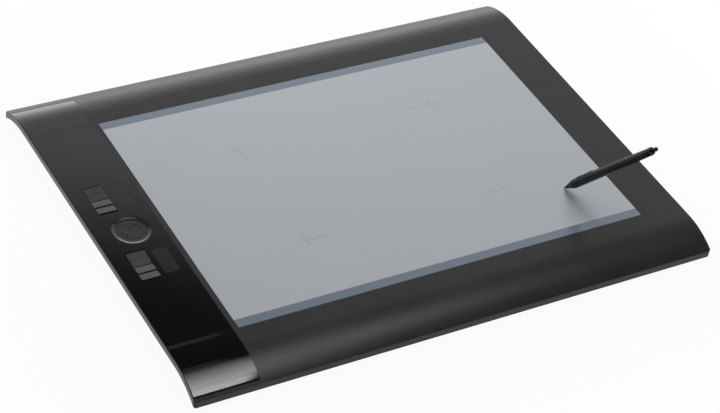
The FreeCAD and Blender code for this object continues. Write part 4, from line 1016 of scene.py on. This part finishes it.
PEN_ERASER = MouldedFinish("pen_eraser", (0.006, 0.006, 0.006), 0.26, level=0.3, grain=0.25, relief=0.005)
PEN_SWITCH = MouldedFinish("pen_switch", (0.005, 0.005, 0.005), 0.16, grain=0.3, relief=0.002, uneven=0.05)
FERRITE = MouldedFinish("ferrite", (0.02, 0.018, 0.017), 0.6, grain=0.4, relief=0.02, mottle=0.3)


@dataclass
class CrownedCap:
    """A gloss end cap of the control column: flat near its seam, then crowned down to the edge."""

    side: Side
    case_height: float = 28.0
    left: float = -311.5
    right: float = -238.7
    wall: float = 2.4
    rim: float = 7.0
    crown_start: float = 185.0
    crown_radius: float = 90.0
    overshoot: float = 1.0
    end: float = 227.65
    edge_round: float = 1.0
    edge_soft: float = 0.35
    arc_steps: int = 48
    seam_rear: float = 167.75
    seam_front: float = 168.75
    seam_round: float = 1.4
    peg_radius: float = 1.5
    peg_low: float = 19.9
    peg_y: float = 196.0
    peg_inset: float = 14.0

    def section(self, y: float) -> list[Place]:
        """Return the cap's cross-section.

        Args:
            y: where it is, along Y.

        Returns:
            The corners in order.
        """
        top, left, inner = self.case_height, self.left, self.left + self.wall
        corner = arc((left + self.edge_round, top - self.edge_round), self.edge_round, 90, 180, 8)
        points = [(self.right, top), *corner, (left, top - self.rim), (inner, top - self.rim),
                  (inner, top - self.wall), (self.right, top - self.wall)]
        return [(x, y, z) for x, z in points]

    def build(self) -> None:
        """Sweep the section along the flat and round the crown, trim the end and add the pegs."""
        form = Form(f"{self.side.word}_cap_shell")
        top, seam = self.case_height, self.seam_rear if self.side is Side.REAR else self.seam_front
        leading = only(form.extrude(form.face(self.section(seam)), (0, self.crown_start - seam, 0)), BMFace)
        angle = math.asin((self.end - self.crown_start) / (self.crown_radius - self.rim))
        bmesh.ops.spin(form.bm, geom=leading, cent=(0, self.crown_start, top - self.crown_radius),
                       axis=(-1, 0, 0), angle=angle + math.radians(self.overshoot), steps=self.arc_steps)
        bmesh.ops.delete(form.bm, geom=leading, context="FACES_ONLY")
        form.outward().cut((0, self.end, 0), (0, 1, 0), trim=True)
        if self.side is Side.REAR:
            form.soften(self.seam_round, 4, form.edges_where(lambda edge: all(
                abs(vert.co.y - seam) < NEAR and vert.co.z > top - NEAR for vert in edge.verts)))
        form.soften(self.edge_soft)
        length = top - self.wall - self.peg_low
        for x in (self.left + self.peg_inset, self.right - self.peg_inset):
            form.rod(Matrix.Translation((x, self.peg_y, self.peg_low + length / 2)), length, self.peg_radius)
        if self.side is Side.FRONT:
            bmesh.ops.scale(form.bm, vec=(1, -1, 1), verts=form.bm.verts)
            bmesh.ops.reverse_faces(form.bm, faces=form.bm.faces)
        form.piece(GLOSS, Slot.PANEL, f"{self.side.word}_end_cap")


@dataclass
class Casing:
    """The matte casing, its feet, its end caps and its screws."""

    weld: float = 1e-3
    foot_half: Point = (22.0, 6.0)
    foot_top: float = 3.2
    foot_round: float = 1.0
    foot_edge: float = 0.5
    foot_places: Line = tuple((240.0 * x, 205.0 * y) for y in (-1, 1) for x in (-1, 0, 1))

    def shell(self) -> None:
        """Give the top casing smooth shading on a merged copy of its mesh."""
        form = Form("top_casing_shell")
        form.bm.from_mesh(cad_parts["top_casing"].data)
        bmesh.ops.scale(form.bm, vec=(1 / MM, 1 / MM, 1 / MM), verts=form.bm.verts)
        bmesh.ops.remove_doubles(form.bm, verts=form.bm.verts, dist=self.weld)
        form.piece(MATTE, Slot.CASING, "top_casing")

    def feet(self) -> None:
        """Shape the rubber feet with rounded corners and softened edges."""
        form = Form("rubber_foot_pads")
        half_x, half_y = self.foot_half
        for x, y in self.foot_places:
            made = bmesh.ops.create_cube(form.bm, size=1.0)["verts"]
            bmesh.ops.scale(form.bm, vec=(half_x * 2, half_y * 2, self.foot_top), verts=made)
            bmesh.ops.translate(form.bm, vec=(x, y, self.foot_top / 2), verts=made)
        upright = form.edges_where(lambda edge: abs(edge.verts[0].co.z - edge.verts[1].co.z) > 1)
        form.soften(self.foot_round, 5, upright)
        low = form.edges_where(lambda edge: all(vert.co.z < NEAR for vert in edge.verts))
        form.soften(self.foot_edge, 3, low)
        form.piece(RUBBER, Slot.RUBBER, "rubber_feet")

    def build(self) -> None:
        """Make and dress the casing."""
        self.shell()
        self.feet()
        for side in Side:
            CrownedCap(side).build()
        dress(UNDERSIDE, "bottom_casing", "port_cover")
        dress(SCREWS, "casing_screws", "panel_screws", "board_screws")


@dataclass
class ControlColumn:
    """The gloss panel with its keys, windows and touch ring, and what lies under them."""

    top: float = 28.0
    ring_x: float = -271.0
    ring_radius: float = 21.0
    ring_land: float = 0.6
    ring_bevel: float = 0.15
    ring_low: float = 25.6
    dish_radius: float = 17.5
    dish_slope: float = 2.2
    dish_drops: Point = (0.41, 0.87)
    inner_radius: float = 10.3
    inner_drop: float = 1.0
    gap_round: float = 0.65
    button_radius: float = 10.0
    button_crown: Line = ((2.5, 0.04), (10.0, 0.08))
    button_flange: float = 11.1
    flange_levels: Point = (24.4, 25.3)
    stem_radius: float = 1.6
    stem_low: float = 22.3
    mat_low: float = 19.6
    mat_skin: float = 0.5
    mat_edge: float = 0.15
    mat_half: Point = (9.35, 20.175)
    ring_mat_radius: float = 6.4
    dome_wall: Line = ((3.2, 20.05), (3.2, 20.35), (2.15, 21.65), (1.8, 21.8), (1.6, 22.0))
    key_x: float = -282.35
    key_centre: float = 52.25
    key_pitch: float = 10.2

    def ring(self) -> None:
        """Spin the dished touch ring."""
        top, inner_top = self.top, self.top - self.inner_drop
        start, end = self.ring_radius - self.ring_land, self.inner_radius + self.gap_round
        half_way, bottom = (top - drop for drop in self.dish_drops)
        dish = rounded_line([(start, top), ((start + self.dish_radius) / 2, half_way),
                             (self.dish_radius, bottom), (self.dish_radius - self.dish_slope, inner_top),
                             (end, inner_top)], 8)
        profile = [(self.inner_radius, self.ring_low), (self.ring_radius, self.ring_low),
                   (self.ring_radius, top - self.ring_bevel), (self.ring_radius - self.ring_bevel, top),
                   *dish, *arc((end, inner_top - self.gap_round), self.gap_round, 105, 180, 4)]
        Form("touch_ring_dish").turn(profile, steps=128).piece(
            RING, Slot.KEY, "touch_ring", place=Matrix.Translation((self.ring_x, 0, 0)))

    def button(self) -> None:
        """Spin the ring's press button with its flange and stem."""
        top, radius, (low, high) = self.top - self.inner_drop, self.button_radius, self.flange_levels
        profile = [(0.0, self.stem_low), (self.stem_radius, self.stem_low), (self.stem_radius, low),
                   (self.button_flange, low), (self.button_flange, high), (radius, high),
                   *arc((radius - self.gap_round, top - self.gap_round), self.gap_round, 0, 90, 6),
                   *((radius - inwards, top - drop) for inwards, drop in self.button_crown)]
        Form("ring_button_cap").turn(profile, closed=False).piece(
            BUTTON, Slot.KEY, "ring_button", "ring_button_body", Matrix.Translation((self.ring_x, 0, 0)))

    def domes(self, mat: Form, node: str, places: Sequence[Point]) -> None:
        """Stand domes on a silicone mat and make them one piece.

        Args:
            mat: the mat.
            node: the node that it stands for.
            places: where the domes stand.
        """
        mat.soften(self.mat_edge)
        wall = self.dome_wall
        profile = [(0.0, wall[0][1]), *rounded_line(wall, 4), (0.0, wall[-1][1])]
        for x, y in places:
            dome = Form(f"{node}_dome").turn(profile, steps=40, closed=False)
            bmesh.ops.translate(dome.bm, vec=(x, y, 0), verts=dome.bm.verts)
            loose = dome.outward().mesh()
            mat.bm.from_mesh(loose)
            bpy.data.meshes.remove(loose)
        mat.piece(SILICONE, Slot.SILICONE, node)

    def mats(self) -> None:
        """Make the mats under the two groups of four keys and under the ring's button."""
        half_x, half_y = self.mat_half
        for side in Side:
            node, middle = f"key_domes_{side.word}", self.key_centre * side.value
            mat = Form(f"{node}_mat")
            corners = [(self.key_x + half_x * a, middle + half_y * b, self.mat_low)
                       for a, b in ((-1, -1), (1, -1), (1, 1), (-1, 1))]
            mat.extrude(mat.face(corners), (0, 0, self.mat_skin))
            keys = [middle + self.key_pitch * step for step in (-1.5, -0.5, 0.5, 1.5)]
            self.domes(mat, node, [(self.key_x, y) for y in keys])
        centre = Matrix.Translation((self.ring_x, 0, self.mat_low + self.mat_skin / 2))
        mat = Form("ring_dome_mat").rod(centre, self.mat_skin, self.ring_mat_radius, 48)
        self.domes(mat, "ring_dome", [(self.ring_x, 0.0)])

    def build(self) -> None:
        """Make and dress the control column."""
        self.ring()
        self.button()
        self.mats()
        dress(GLOSS, "control_panel")
        dress(KEY, *(f"key_{number}" for number in range(1, 9)))
        dress(WINDOW, "display_window_rear", "display_window_front")
        dress(DISPLAY, "display_module_rear", "display_module_front")
        dress(BOARD, "key_board")
        dress(ELECTRODES, "ring_sensor")


@dataclass
class DrawingSurface:
    """The drawing sheet with the boards and ribbons inside the casing."""

    def build(self) -> None:
        """Dress the sheet and the electronics."""
        dress(FILM, "drawing_sheet")
        dress(SENSOR_BOARD, "sensor_board")
        dress(STEEL, "shield_plate")
        dress(BOARD, "main_board")
        dress(CHIP, "main_chips")
        dress(RIBBON, "flat_cable", "sensor_cable")
        dress(INLET, "usb_socket_rear", "usb_socket_front")


@dataclass
class Pen:
    """The pen, shaped upright with its nib's tip at the origin, then laid in its resting pose.

    A Line holds pairs of radius and height above the tip.
    """

    tip: Place = (202.05, -99.19, 28.218)
    altitude: float = 52.2
    heading: float = -75.07
    roll: float = 180.0
    lip: float = 0.15
    bore: float = 4.45
    spigot: float = 4.35
    spigot_bore: float = 3.65
    cone_mouth: Line = ((0.88, 2.8), (1.2, 2.8), (1.38, 2.92))
    cone_line: Line = ((1.5, 3.3), (2.15, 5.8), (2.78, 8.5), (3.45, 11.0), (4.07, 13.2))
    cone_end: Line = ((4.13, 13.38), (4.08, 13.5))
    cone_spigot: float = 3.4
    cone_inside: Line = ((2.8, 17.5), (2.8, 12.3), (1.55, 8.5), (1.5, 6.3), (0.88, 6.3))
    nib_radius: float = 0.8
    nib_end: float = 30.0
    grip_start: float = 13.6
    grip_place: float = 18.5
    grip_line: Line = ((4.25, 13.68), (4.75, 15.7), (5.28, 18.2), (5.37, 24.0), (5.35, 34.0))
    grip_back: Line = ((5.35, 50.7), (5.22, 70.0))
    seam: float = 85.8
    seam_gap: float = 0.1
    seam_radius: float = 5.05
    upper_start: float = 75.8
    upper_line: Line = ((4.84, 103.0), (4.58, 124.0), (4.35, 140.75), (4.23, 140.9))
    collar_spigot: Line = ((3.1, 135.0), (3.55, 135.0), (3.55, 141.0), (4.24, 141.0), (4.34, 141.12))
    collar_line: Line = ((4.4, 141.6), (4.6, 144.0), (4.57, 145.8), (4.2, 147.3))
    collar_edge: Point = (3.7, 147.6)
    collar_round: float = 0.4
    collar_inside: Line = ((2.1, 148.0), (2.1, 141.5), (3.1, 141.5))
    eraser_stem: Line = ((0.0, 138.0), (1.9, 138.0), (1.9, 139.8), (3.0, 139.8), (3.0, 141.3), (1.9, 141.3))
    eraser_ball: float = 2.395
    eraser_centre: float = 153.6
    slot_half: float = 3.25
    slot_start: float = 26.75
    slot_end: float = 50.85
    switch_line: Line = ((5.35, 27.0), (6.0, 29.0), (5.68, 33.5), (5.5, 38.8), (5.7, 43.5), (6.0, 47.6),
                         (5.5, 50.6))
    switch_half: float = 3.0
    switch_low: float = 4.1
    switch_rim: float = 5.0
    switch_round: float = 0.45
    lug_half: float = 1.5
    lug_low: float = 2.0
    pivot: float = 38.8
    pivot_level: float = 2.8
    pivot_radius: float = 0.5
    pivot_reach: float = 3.8

    def laid(self) -> Matrix:
        """Return the resting pose.

        Returns:
            The matrix that lays the upright pen on the sheet.
        """
        turns = ((self.heading, "Z"), (90 - self.altitude, "Y"), (self.roll, "Z"))
        heading, lean, roll = (Matrix.Rotation(math.radians(angle), 4, axis) for angle, axis in turns)
        return Matrix.Translation(self.tip) @ (heading @ lean @ roll)

    def axial(self, name: str, colour: Colour, roughness: float, **sizes: float | Colour) -> AxialFinish:
        """Return a finish that follows the pen's axis."""
        axis = tuple(self.laid().to_3x3() @ Vector((0, 0, 1)))
        return AxialFinish(name, colour, roughness, origin=self.tip, axis=axis, **sizes)

    def cone(self) -> None:
        """Spin the gloss nose cone with its bush and spigot."""
        profile = [*self.cone_mouth, *rounded_line(self.cone_line), *self.cone_end,
                   (self.cone_spigot, self.cone_end[-1][1]), (self.cone_spigot, self.cone_inside[0][1]),
                   *self.cone_inside]
        Form("pen_cone_shell").turn(profile).piece(
            PEN_CONE, Slot.PEN_GLOSS, "pen_nose_cone", "pen", self.laid())

    def nib(self) -> None:
        """Spin the nib with its ball point."""
        radius = self.nib_radius
        profile = [*arc((0.0, radius), radius, -90, 0, 10), (radius, self.nib_end), (0.0, self.nib_end)]
        worn = self.axial("nib", (0.03, 0.03, 0.032), 0.4, grain=0.2, relief=0.004, worn_end=1.2,
                          worn_colour=(0.16, 0.16, 0.165))
        Form("pen_nib_rod").turn(profile, steps=40, closed=False).piece(
            worn, Slot.NIB, "pen_nib", "nib", self.laid())

    def lower_barrel(self) -> None:
        """Spin the lower barrel and cut the slot of the side switch."""
        front_bore, end = self.cone_spigot + self.seam_gap, self.seam - self.seam_gap
        profile = [(front_bore, self.grip_start), (self.grip_line[0][0] - self.seam_gap, self.grip_start),
                   *rounded_line(self.grip_line), *self.grip_back, (self.seam_radius, end - self.lip),
                   (self.seam_radius - self.lip, end), (self.bore, end), (self.bore, self.grip_place),
                   (front_bore, self.grip_place)]
        form = Form("pen_lower_shell").turn(profile)
        for y in (self.slot_half, -self.slot_half):
            form.cut((0, y, 0), (0, 1, 0))
        for z in (self.slot_start, self.slot_end):
            form.cut((0, 0, z), (0, 0, 1))
        middles = {face: face.calc_center_median() for face in form.bm.faces}
        slot = [face for face, (x, y, z) in middles.items()
                if x > 0 and abs(y) < self.slot_half and self.slot_start < z < self.slot_end]
        bmesh.ops.delete(form.bm, geom=slot, context="FACES")
        bmesh.ops.bridge_loops(form.bm, edges=form.edges_where(lambda edge: len(edge.link_faces) == 1))
        form.piece(PEN_GRIP, Slot.PEN_MATTE, "pen_lower_barrel", "pen", self.laid())

    def upper_barrel(self) -> None:
        """Spin the matte upper barrel with its spigot."""
        profile = [(self.spigot_bore, self.upper_start), (self.spigot, self.upper_start),
                   (self.spigot, self.seam), (self.seam_radius - self.lip, self.seam),
                   (self.seam_radius, self.seam + self.lip),
                   *self.upper_line, (self.spigot_bore, self.upper_line[-1][1])]
        Form("pen_upper_shell").turn(profile).piece(
            PEN_MATTE, Slot.PEN_MATTE, "pen_upper_barrel", "pen", self.laid())

    def collar(self) -> None:
        """Spin the gloss tail collar."""
        profile = [*self.collar_spigot, *rounded_line(self.collar_line),
                   *arc(self.collar_edge, self.collar_round, 20, 90, 4), *self.collar_inside]
        Form("pen_collar_shell").turn(profile).piece(
            PEN_COLLAR, Slot.PEN_GLOSS, "pen_tail_collar", "pen", self.laid())

    def eraser(self) -> None:
        """Spin the ball-ended eraser button."""
        start = -math.degrees(math.acos(self.eraser_stem[-1][0] / self.eraser_ball))
        profile = [*self.eraser_stem, *arc((0.0, self.eraser_centre), self.eraser_ball, start, 90, 24)]
        Form("pen_eraser_button").turn(profile, steps=64, closed=False).piece(
            PEN_ERASER, Slot.PEN_GLOSS, "pen_eraser", "eraser", self.laid())

    def side_switch(self) -> None:
        """Extrude the rocking switch, round its edges and add its pivot pins."""
        (_, start), (_, end) = self.switch_line[0], self.switch_line[-1]
        half, low = self.switch_half, self.switch_low
        lug_start, lug_end = self.pivot - self.lug_half, self.pivot + self.lug_half
        profile = [(low, start), *rounded_line(self.switch_line, 4), (low, end), (low, lug_end),
                   (self.lug_low, lug_end), (self.lug_low, lug_start), (low, lug_start)]
        form = Form("pen_switch_rocker")
        form.extrude(form.face((x, -half, z) for x, z in profile), (0, half * 2, 0))
        rims = form.outward().edges_where(lambda edge: abs(edge.verts[0].co.y - edge.verts[1].co.y) < NEAR
                                          and all(vert.co.x > self.switch_rim for vert in edge.verts))
        form.soften(self.switch_round, 3, rims)
        pin = Matrix.Translation((self.pivot_level, 0, self.pivot)) @ Matrix.Rotation(math.pi / 2, 4, "X")
        form.rod(pin, self.pivot_reach * 2, self.pivot_radius, 24)
        form.piece(PEN_SWITCH, Slot.PEN_GLOSS, "pen_side_switch", "side_switch", self.laid())

    def build(self) -> None:
        """Make and dress the pen."""
        self.cone()
        self.nib()
        self.lower_barrel()
        self.upper_barrel()
        self.collar()
        self.eraser()
        self.side_switch()
        dress(PEN_BOARD, "pen_board")
        dress(FERRITE, "pen_ferrite")
        copper = self.axial("copper", (0.72, 0.26, 0.11), 0.25, metal=1.0, ring_pitch=0.25, ring_depth=0.08)
        dress(copper, "pen_coil")
        dress(CHIP, "pen_pressure_sensor", "pen_eraser_sensor")


@dataclass
class Studio:
    """The white floor, the soft lights and the camera, in metres, but the floor's pattern in millimetres."""

    lens: float = 111.13
    sensor: float = 36.0
    clip: Point = (0.05, 50.0)
    camera_place: Place = (-1.102339, -1.476000, 1.547468)
    right: Place = (0.86029488, -0.48694523, 0.15092069)
    down: Place = (-0.22366235, -0.6265456, -0.74660282)
    ahead: Place = (0.45811338, 0.60854331, -0.64792528)
    ambient_front: float = 0.02
    ambient_rear: float = 0.16
    ambient_axis: Place = (0.0, 0.6, 0.8)
    ambient_reach: Point = (-0.2, 1.0)
    glow_angles: Point = (39.2, 43.8)
    dark_level: float = 0.03
    sweep_axis: Place = (0.6, 0.8, 0.0)
    sweep_reach: Point = (-0.6, 0.0)
    sweep_front: float = 0.25
    floor_size: float = 6.0
    floor_drop: float = 0.0002
    floor_glow: float = 0.95
    floor_shade: float = 0.5
    shadow_half: Point = (312.0, 231.0)
    shadow_reach: float = 260.0

    def camera(self) -> None:
        """Set the camera where the photograph was taken."""
        data = bpy.data.cameras.new("camera")
        data.lens, data.sensor_width, data.sensor_fit = self.lens, self.sensor, "HORIZONTAL"
        data.clip_start, data.clip_end = self.clip
        camera = add_object("camera", data)
        up, back = ([-part for part in axis] for axis in (self.down, self.ahead))
        turn = Matrix((self.right, up, back)).transposed()
        camera.matrix_world = Matrix.Translation(self.camera_place) @ turn.to_4x4()
        bpy.context.scene.camera = camera

    def lamp(self, name: str, place: Place, aim: Place, size: Point, radiance: float,
             across: Line = (), along: Line = (), mirrored: bool = True) -> None:
        """Hang a soft rectangular lamp.

        Args:
            name: its name.
            place: where it hangs.
            aim: what it points at.
            size: its width and height.
            radiance: how bright its face is.
            across: stops of its fade along its width, as pairs of position and share.
            along: stops of its fade along its height.
            mirrored: whether gloss reflects its face.
        """
        data = bpy.data.lights.new(name, "AREA")
        data.shape, data.size, data.size_y = "RECTANGLE", *size
        data.energy = radiance * math.pi * size[0] * size[1]
        if across or along:
            graph = Graph(data)
            spots = graph.axes(graph.node("ShaderNodeNewGeometry", output="Parametric"))
            share: Term = 1.0
            for spot, stops in zip(spots, (across, along)):
                if stops:
                    share = graph.node("ShaderNodeValToRGB", {"stops": stops}, {0: spot}) * share
            glow = graph.node("ShaderNodeEmission", inputs={"Color": WHITE, "Strength": share})
            graph.node("ShaderNodeOutputLight", inputs={"Surface": glow})
        lamp = add_object(name, data)
        lamp.visible_glossy = mirrored
        lamp.location = place
        lamp.rotation_euler = (Vector(aim) - Vector(place)).to_track_quat("-Z", "Y").to_euler()

    def floor(self) -> None:
        """Lay the white floor, which keeps the object's shadow."""
        form = Form("floor")
        bmesh.ops.create_grid(form.bm, x_segments=1, y_segments=1, size=self.floor_size / 2)
        bmesh.ops.translate(form.bm, vec=(0, 0, -self.floor_drop), verts=form.bm.verts)
        floor = add_object("floor", form.mesh())
        material = bpy.data.materials.new("floor_white")
        graph = Graph(material)
        aside, beyond = ((abs(axis) - half).most(0.0)
                         for axis, half in zip(graph.axes(), self.shadow_half))
        away = (aside * aside + beyond * beyond).rise(0.0, self.shadow_reach ** 2)
        seen = graph.rays("Camera", "Glossy", "Transmission")
        glow = seen * (self.floor_glow + away * (1 - self.floor_glow))
        white = graph.node("ShaderNodeEmission", inputs={"Color": WHITE, "Strength": 1.0})
        matt = graph.node("ShaderNodeBsdfDiffuse", inputs={"Color": (self.floor_shade,) * 3})
        mixed = graph.node("ShaderNodeMixShader", inputs={0: glow, 1: matt, 2: white})
        graph.node("ShaderNodeOutputMaterial", inputs={"Surface": mixed})
        floor.data.materials.append(material)

    def world(self) -> None:
        """Surround the scene with white that darkens above the backdrop in reflections."""
        world = bpy.data.worlds.new("studio")
        bpy.context.scene.world = world
        graph = Graph(world)
        direction = graph.node("ShaderNodeTexCoord", output="Generated")
        height = graph.axes(direction)[2]
        turned = direction.along(self.sweep_axis).rise(*self.sweep_reach)
        sweep = self.sweep_front + turned * (1 - self.sweep_front)
        backdrop = height.fall(*(math.sin(math.radians(angle)) for angle in self.glow_angles))
        mirrored = self.dark_level + backdrop * sweep * (1 - self.dark_level)
        camera, glossy = graph.rays("Camera"), graph.rays("Glossy", "Transmission")
        rest = (1 - camera - glossy).most(0.0)
        share = direction.along(self.ambient_axis).rise(*self.ambient_reach)
        ambient = self.ambient_front + share * (self.ambient_rear - self.ambient_front)
        strength = camera + glossy * (1 - camera) * mirrored + rest * ambient
        shader = graph.node("ShaderNodeBackground", inputs={"Color": WHITE, "Strength": strength})
        graph.node("ShaderNodeOutputWorld", inputs={"Surface": shader})

    def build(self) -> None:
        """Set up the whole studio."""
        self.camera()
        self.floor()
        self.world()
        self.lamp("softbox_over", (0.3, 0.05, 2.0), (0.3, 0.05, 0.0), (2.2, 0.9), 4.6,
                  across=((0.0, 0.2), (0.25, 1.0), (0.6, 0.9), (0.76, 1.0), (0.92, 0.18), (1.0, 0.0)),
                  along=((0.0, 0.6), (0.23, 1.0), (0.52, 0.8), (0.76, 0.35), (1.0, 0.0)))
        self.lamp("softbox_strip", (0.5, 0.005, 1.98), (0.5, 0.005, 0.0), (0.24, 1.49), 9.5,
                  along=((0.0, 1.0), (0.16, 0.9), (0.26, 0.45), (0.336, 0.22), (0.5, 0.04), (0.93, 0.03),
                         (1.0, 0.0)))
        self.lamp("softbox_key", (0.79, 0.8, 2.0), (0.1, 0.0, 0.0), (1.1, 1.1), 5.96, mirrored=False)
        self.lamp("softbox_rear", (0.0, 1.3, 0.75), (0.0, 0.0, 0.0), (2.0, 0.6), 3.75, mirrored=False)
        self.lamp("softbox_back", (0.0, 2.3, 0.7), (0.0, 0.0, 0.7), (3.4, 1.3), 1.8,
                  along=((0.0, 1.0), (0.25, 0.9), (0.6, 0.3), (1.0, 0.0)))
        bpy.context.scene.view_settings.view_transform = "Standard"


def main() -> None:
    """Build and dress the tablet and its pen, then set up the studio."""
    logging.basicConfig(level=logging.INFO, format="%(name)s: %(message)s")
    for sub_assembly in (Casing(), ControlColumn(), DrawingSurface(), Pen(), Studio()):
        sub_assembly.build()
        LOG.info("built %s", type(sub_assembly).__name__)


if __name__ == "__main__":
    main()
